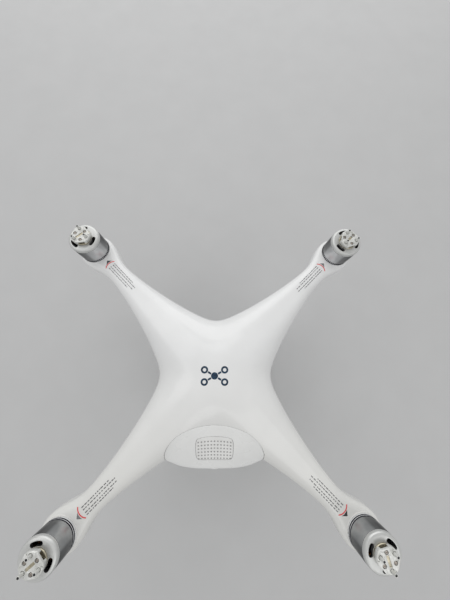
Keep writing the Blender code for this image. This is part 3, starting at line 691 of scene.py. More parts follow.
def hull_half(name, heights, rim_shares, mid_shares, seam, up):
    """Mirror the quarter cage both ways, smooth it and give it a wall."""
    rows = hull_rows(heights, rim_shares, mid_shares, seam)
    piece = solid(name, hull_cage(rows, seam, up), "shell")
    mirror = piece.modifiers.new("four_arms", "MIRROR")
    mirror.use_axis = (True, True, False)
    mirror.merge_threshold = 0.00005
    smooth = piece.modifiers.new("smooth", "SUBSURF")
    smooth.levels = HULL_LEVELS
    smooth.render_levels = HULL_LEVELS
    wall = piece.modifiers.new("wall", "SOLIDIFY")
    wall.thickness = SHELL_WALL * MM
    wall.offset = -1
    wall.use_even_offset = True
    return piece


def end_arc(x):
    """Front edge of the battery's lens-shaped end, seen from above."""
    bend = 1 - sqrt(1 - (x / END_ARC_HALF) ** 2)
    return END_ARC_Y - 26 * bend * (1 + 0.4 * bend)


def battery_opening():
    """What is cut from the upper shell for the battery's end: the lens shape, open to the rear."""
    xs = [(END_HALF + SEEN_GAP) * sin(pi / 2 * step / 32) for step in range(-32, 33)]
    top = [[(x, end_arc(min(abs(x), END_HALF)) + SEEN_GAP, 190) for x in xs], [(x, -120, 190) for x in xs]]
    bottom = [[(x, y, 140) for x, y, _ in row] for row in top]
    return slab(top, bottom)


def build_top_shell():
    """Upper hull half with its motor collars and the battery opening."""
    bore = 8.3
    seam = SEAM_Z + SEAM_GAP / 2
    upper = hull_half("hull_top", TOP_HEIGHTS, TOP_RIM_SHARE, TOP_MID_SHARE, seam, True)
    collar = raised(SEAT_TOP, (bore, 0), (SEAT_R - 0.9, 0), (SEAT_R, -0.5)) + [(SEAT_R, 152.6), (bore, 152.6)]
    combine(upper, merge(*[turned(collar, 0.25, 64, (x, y)) for _, x, y in PLACES]), "UNION")
    combine(upper, merge(*[disc(bore + 0.1, 140, 170, 48, (x, y)) for _, x, y in PLACES]))
    combine(upper, battery_opening())
    return fit(settle(upper), "airframe", "shell_white", "top_shell")


def well_spots():
    """Plan places of the screw wells under the arms, each with its arm's inward direction."""
    spots = []
    for _, x, y in PLACES:
        inward = Vector((-x, -y)).normalized()
        spots += [(x + inward.x * along, y + inward.y * along, inward) for along in WELLS]
    return spots


def build_bottom_shell():
    """Lower hull half with the battery slot, the eye holes, vents and screw wells."""
    seam = SEAM_Z - SEAM_GAP / 2
    lower = hull_half("hull_bottom", BELLY_HEIGHTS, BELLY_RIM_SHARE, BELLY_MID_SHARE, seam, False)
    combine(lower, box((-END_HALF - 0.3, -120, BATTERY_LOW - 2.6), (END_HALF + 0.3, -34.6, 160)))
    combine(lower, merge(*[disc(5.7, 40, 80, 48, (x, EYE_Z), "Y") for x in (-EYE_X, EYE_X)]))
    vents = [block(x, -14 + 5.2 * step, 7, 0.9, 90, 112) for x in (-38, 38) for step in range(6)]
    combine(lower, merge(*vents))
    combine(lower, merge(*[disc(1.9, 110, 134, 24, (x, y)) for x, y, _ in well_spots()]))
    return fit(settle(lower), "airframe", "shell_white", "bottom_shell")


def build_hull_screws(shell):
    """Countersunk screws in the wells under the arms."""
    tree = BVHTree.FromObject(shell, bpy.context.evaluated_depsgraph_get())
    heads = []
    for x, y, inward in well_spots():
        beside = Vector(((x + inward.y * 2.6) * MM, (y - inward.x * 2.6) * MM, 0.09))
        base = tree.ray_cast(beside, UP)[0].z / MM + 0.5
        head = raised(base, (0, 2.2), (1.2, 2.2), (1.2, 1), (1.85, 0), (0.75, 0), (0.75, 0.7), (0, 0.7))
        heads.append(turned(head, 0.12, 24, (x, y)))
    fit(solid("hull_screws", merge(*heads), "screw"), "airframe", "shell_white")


# ================================================================ printed marks
def laid_on(tree, points, lift=0.03, thick=0.05):
    """A thin solid printed on the hull over a grid of plan points in millimetres."""
    top = []
    for row in points:
        high = []
        for x, y in row:
            hit = tree.ray_cast(Vector((x * MM, y * MM, 0.25)), -UP)[0]
            high.append(Vector((x, y, hit.z / MM + lift + thick / 2)))
        top.append(high)
    return slab(top, [[point - UP * thick for point in row] for row in top])


def band_points(start, end, half, steps):
    """Grid of a straight band between two plan points."""
    along = (end - start).normalized()
    across = Vector((-along.y, along.x)) * half
    rows = []
    for side in (-1, 0, 1):
        rows.append([tuple(start.lerp(end, step / steps) + across * side) for step in range(steps + 1)])
    return rows


def arc_rows(centre, back, across, radii, reach, steps):
    """Grid of an arc band that bulges along back; reach is its half angle in degrees."""
    rows = []
    for radius in radii:
        row = []
        for step in range(steps + 1):
            angle = radians(reach * (2 * step / steps - 1))
            row.append(tuple(centre + back * radius * cos(angle) + across * radius * sin(angle)))
        rows.append(row)
    return rows


def ring_rows(centre, inner, outer):
    """Grid of a full ring round a plan point."""
    radii = (inner, (inner + outer) / 2, outer)
    return arc_rows(centre, Vector((-1, 0)), Vector((0, -1)), radii, 180, 36)


def fit_print(name, parts, paint):
    """One printed piece of the upper shell from its parts."""
    fit(solid(name, merge(*parts), paint), "airframe", "shell_white")


def build_arm_marks(tree):
    """Red arc, dark wedge and rows of plain dashes on each arm."""
    arcs = []
    wedges = {"dark": [], "grey": []}
    dashes = []
    draw = random.Random(4)
    for corner, x, y in PLACES:
        motor = Vector((x, y))
        inward = Vector((-x, -y)).normalized()
        across = Vector((-inward.y, inward.x)) * (1 if corner in ("fr", "rl") else -1)
        centre = motor + inward * ARC_CENTRE
        radii = (ARC_R - ARC_HALF_WIDTH, ARC_R, ARC_R + ARC_HALF_WIDTH)
        arcs.append(laid_on(tree, arc_rows(centre, -inward, across, radii, 41, 28)))
        edge = arc_rows(centre - across * WEDGE_SHIFT, -inward, across, (WEDGE_R,), 21.5, 12)[0]
        tip = motor + inward * WEDGE_TIP - across * WEDGE_SHIFT
        wedge = [[tuple(tip.lerp(Vector(point), share)) for point in edge] for share in (0.04, 0.35, 0.7, 1)]
        wedges["dark" if corner in ("fl", "rr") else "grey"].append(laid_on(tree, wedge))
        for offset, row_end in DASH_ROWS:
            along = DASH_START
            while along < row_end:
                length = min(draw.uniform(0.8, 2.8), row_end + 0.8 - along)
                start = motor + inward * along + across * offset
                dashes.append(laid_on(tree, band_points(start, start + inward * length, DASH_HALF_WIDTH, 3)))
                along += length + draw.uniform(0.55, 1.25)
    fit_print("arm_arcs", arcs, "red_print")
    for tint, parts in wedges.items():
        fit_print("arm_wedges_" + tint, parts, tint + "_print")
    fit_print("arm_dashes", dashes, "dash_print")


def build_badge(tree):
    """Generic badge on the dome: a small plan view of a four-rotor machine."""
    centre = Vector((-0.5, 0.5))
    parts = [ring_rows(centre, 0.05, 3)]
    for x, y in ((-8.6, -5), (-8.6, 5), (8.6, -5), (8.6, 5)):
        rotor = centre + Vector((x, y))
        along = (rotor - centre).normalized()
        parts.append(ring_rows(rotor, 1.5, 3.1))
        parts.append(band_points(centre + along * 3.4, rotor - along * 3.5, 0.8, 8))
    fit_print("dome_badge", [laid_on(tree, part) for part in parts], "navy_foil")


# ================================================================ motors
def kidney(middle):
    """Outline of a curved slot with round ends, its middle at an angle in degrees."""
    outline = []
    for sign, half_turn in ((1, 0), (-1, pi)):
        for step in range(17):
            angle = radians(middle + sign * (2 * SLOT_REACH * step / 16 - SLOT_REACH))
            outline.append(on_circle(SLOT_MID_R + sign * SLOT_HALF, angle))
        end = radians(middle + sign * SLOT_REACH)
        for step in range(1, 8):
            swing = end + half_turn + pi * step / 8
            outline.append(on_circle(SLOT_HALF, swing, *on_circle(SLOT_MID_R, end)))
    return outline


def bell_shape(front):
    """Turning bell: turned wall, satin cap with three slots, and its ringed or ribbed foot."""
    inner = BELL_R - BELL_WALL
    deep = BELL_R - 0.22
    wall = raised(BELL_TOP, (0, 0), (11.8, 0), (13.2, -0.45), (13.85, -1.4), (BELL_R, -2.4))
    wall += raised(CAP_GROOVE, (BELL_R, 0), (deep, -0.1), (deep, -0.3), (BELL_R, -0.4))
    foot = []
    if front:
        foot = [(BELL_R, 162.1), (BELL_R - 0.5, 161.9), (BELL_R - 0.5, 158.7), (BELL_R, 158.6)]
    else:
        for top in (163, 160.95):
            foot += raised(top, (BELL_R, 0), (BELL_R - 0.42, -0.12), (BELL_R - 0.42, -1.2), (BELL_R, -1.3))
    inside = ((BELL_R, BELL_LOW), (inner, BELL_LOW), (inner, BELL_TOP - 3.6), (3.4, BELL_TOP - 1.8),
              (SHAFT_R, BELL_TOP - 3.6), (SHAFT_R, 152), (0, 152))

    def ribbed(radius, height, angle):
        if front and 158.75 < height < 161.85 and radius > 13.2:
            return radius + 0.42 * max(0, min(1, 0.5 + 1.2 * cos(angle * 48)))
        return radius

    mesh = turned((*wall, *foot, *inside), 0.1, 288 if front else 112, steps=2, shape=ribbed)
    # rear bells take the darker copy of the bell finish: painted shade
    piece = solid("bell_form_" + ("front" if front else "rear"), mesh, "bell" if front else "rear_bell")
    slots = [extruded(kidney(120 * turn), BELL_TOP - 5, BELL_TOP + 2) for turn in range(3)]
    combine(piece, merge(*slots))
    settle(piece)

    def on_cap(c, n):
        slot_wall = away(c) < inner + 0.3 and n.z < 0.5 and c.z < BELL_TOP - 0.2
        outside = n.z > 0.12 or away(c) > 13
        return c.z > CAP_GROOVE - 0.05 and outside and 2 < away(c) < BELL_R + 0.1 and not slot_wall

    def in_foot(c, n):
        if front:
            return 158.6 < c.z < 161.95 and inner + 0.2 < away(c) < BELL_R - 0.12
        in_ring = 159.6 < c.z < 160.95 or 161.65 < c.z < 163
        return in_ring and inner + 0.2 < away(c) < BELL_R - 0.005

    def in_cap_groove(c, n):
        return CAP_GROOVE - 0.38 < c.z < CAP_GROOVE - 0.02 and away(c) > inner + 0.3

    paint_where(piece, "cap", on_cap)
    # cap groove and the foot's grooves or rib valleys painted near-black: painted shade
    paint_where(piece, "groove", in_cap_groove)
    paint_where(piece, "groove", in_foot)
    # the outer faces of the rear bells' foot rings are painted bright: painted highlight
    if not front:
        paint_where(piece, "ring", lambda c, n: 158.4 < c.z < 163.3 and away(c) > BELL_R - 0.01)
    return piece


def stator_shapes():
    """Fixed core with twelve teeth on its foot, and the teeth's windings."""
    hole = SHAFT_R + 0.08
    foot = ((hole, 178), (4.2, 178), (4.2, 175), (6.2, 174.4), (6.2, 161.2), (4.2, 160.6), (4.2, 158.8),
            (11.6, 158.8), (11.6, 157.7), (8, 157.7), (8, 151), (hole, 151))
    meshes = [turned(foot, 0.2, 48)]
    coils = []
    for step in range(12):
        turn = Matrix.Rotation(radians(30 * step + 15), 4, "Z")
        shoe = box((10.5, -2.5, 162.2), (11.35, 2.5, 173.4))
        meshes.append(moved(merge(box((5.4, -0.6, 162.6), (10.6, 0.6, 173)), shoe), turn))
        coil = box((6.5, -1.45, 161.8), (10.3, 1.45, 173.8))
        bmesh.ops.bevel(coil, geom=coil.edges[:], offset=0.9, segments=3, affect="EDGES", profile=0.5)
        coils.append(moved(coil, turn))
    core = solid("stator_core_form", merge(*meshes), "core")
    return core, solid("stator_coils_form", merge(*coils), "copper")


POST_SPOTS = three_spots(POST_RING_R, 0)
SCREW_SPOTS = three_spots(SCREW_RING_R, pi / 3)


def nearest(point, spots):
    """Distance of a point from the nearest of some upright axes."""
    return min(away(point, x, y) for x, y in spots)


def adapter_shape():
    """Raised adapter on the bell with three posts whose tips are dark."""
    low = BELL_TOP + FIT_GAP
    base = [(0, HUB_TOP), (1.9, HUB_TOP)]
    base += raised(MOUNT_DISC_TOP, (1.9, 0), (MOUNT_DISC_R - 0.4, 0), (MOUNT_DISC_R, -0.4))
    base += [(MOUNT_DISC_R, low), (0, low)]
    post = raised(POST_TOP, (0, -0.5), (0.78, -0.5), (0.84, 0), (POST_R, 0))
    post += raised(MOUNT_DISC_TOP, (POST_R, -0.5), (0, -0.5))
    meshes = [turned(base, 0.12, 72)] + [turned(post, 0.14, 32, spot) for spot in POST_SPOTS]
    piece = solid("adapter_form", merge(*meshes), "brass")
    paint_where(piece, "plate", lambda c, n: c.z > PLATE_LOW)
    paint_where(piece, "black", lambda c, n: c.z > POST_TOP - 0.7 and nearest(c, POST_SPOTS) < 0.86)
    return piece


def plate_shape():
    """Locking cup with three flat sides, a long slot, small notches and three sunk screws."""
    skirt = PLATE_R - 0.7
    under = PLATE_TOP - PLATE_SKIN
    above = 200
    cup = raised(PLATE_TOP, (0, -0.3), (3.4, -0.3), (3.7, 0), (PLATE_R - 0.6, 0), (PLATE_R, -0.6))
    cup += [(PLATE_R, PLATE_LOW), (skirt, PLATE_LOW), (skirt, under), (0, under)]
    piece = solid("plate_form", turned(cup, 0.14, 144, steps=2), "plate")
    holes = [box((-3, -1.05, PLATE_TOP - 1), (4.2, 1.05, above))]
    for step, spot in enumerate(POST_SPOTS):
        hook = box((6.5, 2, PLATE_TOP - 0.8), (9.5, 2.8, above))
        flat = box((-12, -3.9, 180), (-7.35, 3.9, above))
        notch = box((3.9, -4.6, PLATE_TOP - 0.45), (9.5, -3.4, above))
        holes.append(disc(POST_HOLE_R, 180, above, 32, spot))
        holes += [moved(tool, Matrix.Rotation(TURN * step / 3, 4, "Z")) for tool in (hook, flat, notch)]
    holes += [disc(1.5, PLATE_TOP - 0.9, above, 32, spot) for spot in SCREW_SPOTS]
    for hole in holes:
        combine(piece, hole)
    settle(piece)
    round_edges(piece, 0.12, 2, 40)
    settle(piece)

    def in_slot(c, half, drop):
        return abs(c.y) < half and -3.1 < c.x < 4.3 and under + 0.1 < c.z < PLATE_TOP - drop

    def in_screw_hole(c, n):
        return under + 0.1 < c.z < PLATE_TOP - 0.7 and nearest(c, SCREW_SPOTS) < 1.52

    # slot walls and screw holes painted near-black: painted shade in recesses
    paint_where(piece, "groove", lambda c, n: in_slot(c, 1.1, 0.3) and n.z < 0.7)
    paint_where(piece, "brass", lambda c, n: in_slot(c, 0.95, 0.8) and n.z > 0.7)
    paint_where(piece, "brass", lambda c, n: c.z < PLATE_LOW + 1.3 and away(c) > 7)
    paint_where(piece, "groove", in_screw_hole)
    return piece


def plate_screw_shape():
    """Three small socket-head screws sunk in the locking plate."""
    head = raised(PLATE_TOP - 0.25, (0, -0.45), (0.4, -0.4), (0.5, 0), (0.95, 0), (1.12, -0.2), (1.12, -0.8),
                  (0, -0.8))
    return solid("plate_screws_form", merge(*[turned(head, 0.1, 32, spot) for spot in SCREW_SPOTS]), "screw")


def spring_shape():
    """Small coil spring under the locking plate."""
    rise = SPRING_HIGH - SPRING_LOW - 2 * SPRING_WIRE_R
    steps = SPRING_TURNS * 28
    path = []
    for step in range(steps + 1):
        height = SPRING_LOW + SPRING_WIRE_R + rise * step / steps
        path.append((*on_circle(SPRING_R, TURN * step / 28), height))
    return solid("spring_form", swept(path, UP, SPRING_WIRE_R, SPRING_WIRE_R, 10), "steel")


def build_motors():
    """All four motors from one set of shapes."""
    bells = {"f": bell_shape(True), "r": bell_shape(False)}
    core, wires = stator_shapes()
    adapter = adapter_shape()
    plate = plate_shape()
    screws = plate_screw_shape()
    spring = spring_shape()
    for corner, x, y in PLACES:
        rotor = "rotor_" + corner
        lock = "lock_" + corner
        for form, name, body, slot, *nodes in (
                (bells[corner[0]], "bell_fine_", rotor, "bell_metal", "bell_"),
                (core, "stator_core_", "airframe", "copper", "motor_stator_"),
                (wires, "stator_coils_", "airframe", "copper"),
                (adapter, "adapter_", rotor, "mount_silver", "prop_mount_"),
                (plate, "plate_fine_", lock, "mount_silver", "lock_plate_"),
                (screws, "plate_screws_", lock, "mount_silver")):
            turn = 0 if body == "airframe" else REST_TURNS[corner]
            fit(copy_at(form, name + corner, x, y, turn), body, slot, *[node + corner for node in nodes])
        coil = copy_at(spring, "spring_fine_" + corner, x, y)
        fit(coil, rotor, "spring_steel", "lock_spring_" + corner)
        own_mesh(coil)
    for form in (*bells.values(), core, wires, adapter, plate, screws, spring):
        bpy.data.objects.remove(form)


def build_arm_lamps():
    """Ribbed lamp covers under the arm ends: red in front, green at the rear."""
    profile = ((0, 129.6), (9, 129.6), (10.5, 128.6), (9.4, 126.6), (5, 125.6), (0, 125.4))

    def ribbed(radius, height, angle):
        return radius * (1 - 0.012 * (0.5 + 0.5 * cos(angle * 36))) if radius > 4 else radius

    for corner, x, y in PLACES:
        paint = "red_lens" if corner[0] == "f" else "green_lens"
        lamp = solid("arm_lamp_" + corner, turned(profile, 0.8, 144, (x, y), shape=ribbed), paint)
        fit(lamp, "airframe", "light_lens", "arm_light_" + corner)


# ================================================================ landing gear
def half_skid(sign, end):
    """Path of one leg and its bend into the skid, from the hull down."""
    foot = Vector((sign * SKID_X, end * SKID_HALF, SKID_Z))
    top = Vector((sign * LEG_TOP[0], end * LEG_TOP[1], LEG_TOP[2]))
    bend_start = foot + (top - foot).normalized() * SKID_BEND
    bend_end = foot + Vector((0, -end, 0)) * SKID_BEND
    path = [top.lerp(bend_start, step / 14) for step in range(14)]
    for step in range(13):
        share = step / 12
        path.append(foot.lerp(bend_start, 1 - share).lerp(foot.lerp(bend_end, share), share))
    return path


def build_landing_gear():
    """Two smooth skid frames and their ribbed rubber pads."""
    for side, sign in SIDES:
        x = sign * SKID_X
        path = half_skid(sign, 1) + list(reversed(half_skid(sign, -1)))
        across = (LEG_TOP[2] - SKID_Z, 0, sign * (SKID_X - LEG_TOP[0]))
        gear = solid("skid_frame_" + side, swept(path, across, 3, 4.4, 28), "shell", 60)
        combine(gear, block(x, 0, 6, 90, -6, PAD_HEIGHT + FIT_GAP))
        fit(settle(gear, 50), "airframe", "shell_white", "landing_gear_" + side)
        for end, y in (("front", 46), ("rear", -46)):
            pad = block(x, y, PAD_HALF_WIDTH, 11, 0, PAD_HEIGHT)
            piece = solid("skid_pad_" + end + "_" + side, pad, "rubber")
            grooves = [block(edge, y - 8.2 + 4.1 * step, 0.5, 0.6, -1, 2.2)
                       for step in range(5) for edge in (x - PAD_HALF_WIDTH, x + PAD_HALF_WIDTH)]
            combine(piece, merge(*grooves))
            round_edges(piece, 0.35)
            fit(settle(piece), "airframe", "rubber_black", "foot_pad_" + end + "_" + side)


# ================================================================ eyes, gimbal and camera
def build_eyes():
    """Two round forward eyes with their lenses."""
    hood = raised(EYE_FRONT, (0, -2.6), (2.4, -2.6), (3, -1.8), (3.6, -0.2), (5.3, 0), (5.3, -12),
                  (0, -12))
    for side, sign in SIDES:
        centre = (sign * EYE_X, EYE_Z)
        eye = solid("front_eye_" + side, turned(hood, 0.25, 64, centre, "Y"), "black")
        fit(eye, "airframe", "lens_black", "vision_sensor_" + side)
        lens = disc(2.3, EYE_FRONT - 2.9, EYE_FRONT - 1.9, 40, centre, "Y", 0.5)
        fit(solid("front_eye_lens_" + side, lens, "glass", 60), "airframe", "lens_glass")


def build_gimbal_base():
    """Four rubber dampers, the damper plate and the yaw drum."""
    ball = ((0, 93.3), (2.8, 93.3), (2.8, 92.7), (4.1, 91.9), (4.3, 90.6), (4.1, 89.3), (2.8, 88.5),
            (2.8, 87.9), (0, 87.9))
    for name, dx, dy in (("fl", -20, 18), ("fr", 20, 18), ("rl", -20, -18), ("rr", 20, -18)):
        piece = solid("soft_damper_" + name, turned(ball, 0.5, 36, (dx, YAW_Y + dy)), "rubber", 60)
        fit(piece, "airframe", "rubber_black", "damper_" + name)

    base = solid("gimbal_deck", block(0, YAW_Y, 25, 23, 85.2, 87.6), "gimbal")
    combine(base, merge(*[block(x, YAW_Y, 4.5, 13, 80, 90) for x in (-20, 20)]))
    drum = ((0, 86.4), (14.5, 86.4), (14.5, 82.6), (14.1, 82.4), (14.1, 81.8), (14.5, 81.6), (14.5, 77.8),
            (13.3, 76.4), (0, 76.4))
    combine(base, turned(drum, 0.3, 96, (0, YAW_Y)), "UNION")
    round_edges(base, 0.45)
    fit(settle(base), "airframe", "gimbal_grey", "gimbal_base")


def build_gimbal_arms():
    """Yaw and roll brackets, each with its motor housing and rounded edges."""
    yaw = solid("yaw_bracket", disc(13, 71.2, 76.1, 80, (0, YAW_Y)), "gimbal")
    for part in (box((-8, YAW_BACK - 3, 71.4), (8, YAW_Y, 75.6)),
                 box((-8.4, YAW_BACK - 5.2, CAMERA_Z), (8.4, YAW_BACK + 1, 75)),
                 disc(12.5, YAW_BACK - 6, YAW_BACK + 5.6, 80, (0, CAMERA_Z), "Y")):
        combine(yaw, part, "UNION")
    combine(yaw, merge(*[disc(1.5, 65, 71.9, 24, (x, YAW_Y - 1)) for x in (-6, 6)]))
    round_edges(yaw, 0.9, 4)
    fit(settle(yaw), "yaw_stage", "gimbal_grey", "yaw_arm")

    front = YAW_BACK + 6
    low = CAMERA_Z - 6.5
    high = CAMERA_Z + 6.5
    roll = solid("roll_bracket", disc(11.8, front, front + 3.6, 80, (0, CAMERA_Z), "Y"), "gimbal")
    for part in (box((0, front + 0.3, low), (27, front + 3.3, high)),
                 box((23.4, front + 0.3, low), (27, YAW_Y + 2, high)),
                 disc(10.5, 19.9, 28.6, 80, (YAW_Y, CAMERA_Z), "X")):
        combine(roll, part, "UNION")
    round_edges(roll, 0.7)
    fit(settle(roll), "roll_stage", "gimbal_grey", "roll_arm")


def build_camera_body():
    """Camera shell with cooling grooves down its side and rear."""
    rear = YAW_Y - CAMERA_HALF
    shell = block(0, YAW_Y, 19, CAMERA_HALF, CAMERA_Z - CAMERA_HALF, CAMERA_Z + CAMERA_HALF)
    camera = solid("camera_shell", shell, "camera")
    round_edges(camera, 4, 8)
    settle(camera)
    grooves = []
    for step in range(5):
        low = (-19.5, rear - 1, CAMERA_Z + 9 - 2.6 * step)
        grooves.append(box(low, (-18.6, YAW_Y + 3, CAMERA_Z + 9.6 - 2.6 * step)))
    for step in range(6):
        low = (-11, rear - 1, CAMERA_Z - 8 + 3.2 * step)
        grooves.append(box(low, (11, rear + 0.7, CAMERA_Z - 7 + 3.2 * step)))
    combine(camera, merge(*grooves))
    settle(camera)

    def in_rear_groove(c, n):
        walls = rear + 0.05 < c.y < rear + 0.75 and abs(n.y) < 0.99
        floors = rear + 0.5 < c.y < YAW_Y - 10 and n.y < -0.9
        return abs(c.x) < 11.1 and (walls or floors)

    paint_where(camera, "black", in_rear_groove)
    fit(camera, "camera", "camera_grey", "camera_body")


def build_lens():
    """Ribbed lens barrel and its domed front glass."""
    lens_y = YAW_Y + CAMERA_HALF
    rim = raised(lens_y, (9.4, 9.6), (11.8, 9.6), (12.4, 8.8))
    for step in range(5):
        rim += raised(lens_y + 7.6 - 1.3 * step, (12.4, 0), (12.1, -0.1), (12.1, -0.5), (12.4, -0.6))
    rim += raised(lens_y, (12.4, 0.3), (4, 0.3), (4, 5), (9.4, 7))
    barrel = solid("lens_tube", turned(rim, 0.12, 96, (0, CAMERA_Z), "Y", 2), "black")
    fit(barrel, "camera", "lens_black", "lens_barrel")
    dome = [(0, lens_y + 9.2)]
    for step in range(1, 10):
        share = step / 9
        dome.append((9 * share, lens_y + 9.2 - 1.5 * share ** 2))
    dome += [(9, lens_y + 7.3), (0, lens_y + 7.3)]
    glass = solid("lens_front", turned(dome, 0, 72, (0, CAMERA_Z), "Y"), "glass", 50)
    fit(glass, "camera", "lens_glass", "lens_glass")


# ================================================================ battery
def end_rear(x):
    """Rear edge of the battery's end, seen from above."""
    share = min(abs(x) / END_HALF, 1)
    return END_REAR_Y + 17 * (1 - (1 - share ** 3.2) ** 0.42)


def end_top(x, share):
    """Top of the battery's end from its front arc (share 0) to its rear edge (share 1)."""
    y = end_arc(x) + (end_rear(x) - end_arc(x)) * share
    side = abs(x) / END_HALF
    front_z = END_FRONT_Z + 1.6 * sin(pi * side) ** 2 - 7.5 * side ** 9
    rear_z = END_REAR_Z + 7 * side ** 4 + 13 * side ** 20
    fall = 0.86 * share + 0.14 * share ** 2
    return Vector((x, y, front_z + (rear_z - front_z) * fall))


def end_bottom(x, y):
    """Underside of the battery's end."""
    rise = max(0, (-50 - y) / 34)
    return Vector((x, y, BATTERY_LOW + (END_LOW_Z - BATTERY_LOW) * rise + 3 * (x / END_HALF) ** 4))


def rolled_edge(distance, radius):
    """How far a surface has dropped at a distance inside its rounded edge."""
    if distance >= radius:
        return 0
    return radius - sqrt(max(0, radius ** 2 - (radius - distance) ** 2))


def end_shape():
    """The battery's lens-shaped outer end with rolled edges."""
    xs = [END_HALF * sin(pi / 2 * step / 44) for step in range(-44, 45)]
    top = []
    for share in [0.5 - 0.5 * cos(pi * step / 30) for step in range(31)]:
        row = []
        for x in xs:
            depth = end_arc(x) - end_rear(x)
            fade = min(1, depth / 6)
            drop = (rolled_edge(depth * share, 0.8 * fade) + rolled_edge(depth * (1 - share), 2.2 * fade)
                    + rolled_edge(END_HALF - abs(x), 0.8))
            row.append(end_top(x, share) - UP * drop)
        top.append(row)
    bottom = [[end_bottom(point.x, point.y) for point in row] for row in top]
    for row in bottom[-6:]:
        for point in row:
            point.z += rolled_edge(abs(point.y - end_rear(point.x)), 1.2)
    return slab(top, bottom)


def dimple_distance(x, share):
    """Distance from a place on the pad to the middle of the nearest dimple."""
    u = x / DIMPLE_PITCH + (DIMPLE_COLUMNS - 1) / 2
    v = (share - 0.53) / DIMPLE_SHARE + (DIMPLE_LINES - 1) / 2
    near_u = min(max(round(u), 0), DIMPLE_COLUMNS - 1)
    near_v = min(max(round(v), 0), DIMPLE_LINES - 1)
    return hypot((u - near_u) * DIMPLE_PITCH, (v - near_v) * DIMPLE_SHARE * 43)


def pad_grid(lift, grow, rows, columns, dots=False):
    """Pad outline on the sloping top of the battery's end, its rows of dimples sunk in it if dots."""
    grid = []
    for i in range(rows + 1):
        b = 2 * i / rows - 1
        row = []
        for j in range(columns + 1):
            a = 2 * j / columns - 1
            x = (PAD_HALF + grow) * a * (1 - 0.10 * b ** 4)
            share = 0.5 + (PAD_REACH + grow / 44) * b * (1 - 0.08 * a ** 4)
            rise = lift
            if dots:
                rise -= rolled_edge(min(PAD_HALF * (1 - abs(a)), 11.5 * (1 - abs(b))), 0.6)
                rise -= 0.55 * max(0, 1 - (dimple_distance(x, share) / DIMPLE_R) ** 2)
            row.append(end_top(x, share) + UP * rise)
        grid.append(row)
    return grid


def in_dimple(centre, normal):
    """Whether a face of the pad lies in one of its dimples."""
    share = (centre.y - end_arc(centre.x)) / (end_rear(centre.x) - end_arc(centre.x))
    return normal.z > 0.2 and dimple_distance(centre.x, share) < DIMPLE_R * 0.9


def build_battery_end():
    """The battery's shaped end with its latch pads and the power button."""
    end = solid("battery_cap", end_shape(), "end", 40)
    neck = box((-BATTERY_HALF + 1, -66, BATTERY_LOW + 0.4), (BATTERY_HALF - 1, BATTERY_REAR - 0.3, 153))
    combine(end, neck, "UNION")
    combine(end, slab(pad_grid(6, POCKET_GROW, 24, 36), pad_grid(-5, POCKET_GROW, 24, 36)))
    combine(end, box((-16.5, -74.3, 110), (16.5, -57.7, 127)))
    combine(end, disc(6.3, -95, END_REAR_Y + 4.6, 64, (0, BUTTON_Z), "Y"))
    fit(settle(end, 38), "battery", "shell_white", "battery_end")

    pad = slab(pad_grid(0.45, 0, 132, 200, True), pad_grid(-3, 0, 132, 200))
    pad = solid("dotted_pad", pad, "pad", 50)
    # the dimples' faces take a darker grey: painted shade in the hollows
    paint_where(pad, "dimple", in_dimple)
    fit(pad, "upper_latch", "pad_white", "latch_pad_top")

    low_pad = solid("lower_pad", block(0, -66, 16.2, 8, 119.4, 124.4), "pad")
    lines = [block(0, y, 13, 0.45, 118, 119.9) for y in (-70.5, -68, -65.5, -63, -60.5)]
    combine(low_pad, merge(*lines))
    round_edges(low_pad, 0.35)
    fit(settle(low_pad), "lower_latch", "pad_white", "latch_pad_bottom")

    face = raised(END_REAR_Y, (0, 2.6), (6, 2.6), (6, -0.4), (5.4, -0.8), (0, -0.5))
    button = solid("power_key", turned(face, 0.3, 72, (0, BUTTON_Z), "Y"), "pad")
    fit(button, "power_switch", "pad_white", "power_button")


def build_battery_case():
    """The battery's ribbed case inside the hull."""
    low = (-BATTERY_HALF, BATTERY_REAR, BATTERY_LOW)
    case = solid("battery_sleeve", box(low, (BATTERY_HALF, BATTERY_FRONT, BATTERY_HIGH)), "case")
    ribs = []
    for edge in (-BATTERY_HALF, BATTERY_HALF):
        for z in (129, 138, 147):
            ribs.append(box((edge - 0.5, BATTERY_REAR + 6, z), (edge + 0.5, BATTERY_FRONT - 6, z + 2)))
    combine(case, merge(*ribs))
    round_edges(case, 0.8, 4)
    fit(settle(case), "battery", "battery_grey", "battery_case")


def build_terminal():
    """Contact block at the front of the battery tray with its gold blades."""
    piece = solid("contact_block", block(0, 39, 12, 5, 132, 142), "ceramic")
    round_edges(piece, 0.6)
    fit(settle(piece), "airframe", "ceramic", "battery_terminal")
    blades = [box((x - 0.6, 33.75, 133.5), (x + 0.6, 34.3, 140.5)) for x in (-9, -5.4, -1.8, 1.8, 5.4, 9)]
    fit(solid("contact_blades", merge(*blades), "gold"), "airframe", "copper")


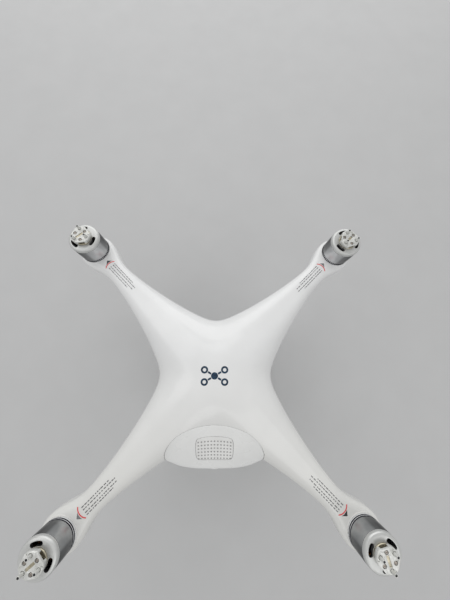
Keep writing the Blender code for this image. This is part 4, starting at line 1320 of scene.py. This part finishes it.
def repaint_kept_nodes():
    """Finishes for the CAD nodes that stay as they are, and the lenses of the belly sensor."""
    for node, paint in (("core_frame", "inner"), ("main_board", "board"), ("gps_module", "ceramic"),
                        ("belly_sensor", "inner"), ("gimbal_mount", "inner"), ("battery_cells", "wrap")):
        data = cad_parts[node].data
        data.materials.clear()
        data.materials.append(FINISH[paint])
    profile = ((0, 94.6), (3.4, 94.6), (3.4, 92.5), (2.6, 92.2), (0, 92.05))
    for side, sign in SIDES:
        lens = turned(profile, 0.2, 40, (sign * 10, -33.5))
        fit(solid("belly_lens_" + side, lens, "glass", 50), "airframe", "lens_glass")


# ================================================================ stage
def build_stage():
    """Pale floor, soft lights and the camera."""
    floor = bmesh.new()
    bmesh.ops.create_grid(floor, x_segments=8, y_segments=8, size=3000)
    floor = solid("floor", floor, "floor")

    world = bpy.data.worlds.new("studio")
    bpy.context.scene.world = world
    world.use_nodes = True
    background = world.node_tree.nodes["Background"]
    background.inputs["Color"].default_value = (1, 1, 0.995, 1)
    background.inputs["Strength"].default_value = 0.6

    for name, place, size, power in (("key", (-0.7, 0.6, 1.6), 1.8, 5), ("fill", (0.5, -0.9, 1.3), 1.3, 3),
                                     ("back", (0, 1.7, 0.8), 2.4, 12)):
        light = bpy.data.lights.new(name, "AREA")
        light.shape = "RECTANGLE"
        light.size = size
        light.size_y = size * 0.6
        light.energy = power
        lamp = add_object(name, light)
        lamp.location = place
        lamp.rotation_euler = (Vector((0, 0, 0.15)) - Vector(place)).to_track_quat("-Z", "Y").to_euler()

    camera = add_object("camera", bpy.data.cameras.new("camera"))
    camera.data.sensor_width = 36
    camera.data.lens = 15.92
    camera.data.clip_start = 0.01
    camera.location = (0.0021858, 0.0084288, 0.412073)
    camera.rotation_euler = [radians(turn) for turn in (14.024, -1.511, 0.1615)]
    bpy.context.scene.camera = camera
    bpy.context.scene.view_settings.view_transform = "Standard"


FINISH = {key: finish(key, *row) for key, row in FINISHES.items()}
PLACES = motor_places()
build_stage()
top_shell = build_top_shell()
bottom_shell = build_bottom_shell()
hull = BVHTree.FromObject(top_shell, bpy.context.evaluated_depsgraph_get())
build_hull_screws(bottom_shell)
build_arm_marks(hull)
build_badge(hull)
build_motors()
build_arm_lamps()
build_landing_gear()
build_eyes()
build_gimbal_base()
build_gimbal_arms()
build_camera_body()
build_lens()
build_battery_end()
build_battery_case()
build_terminal()
repaint_kept_nodes()
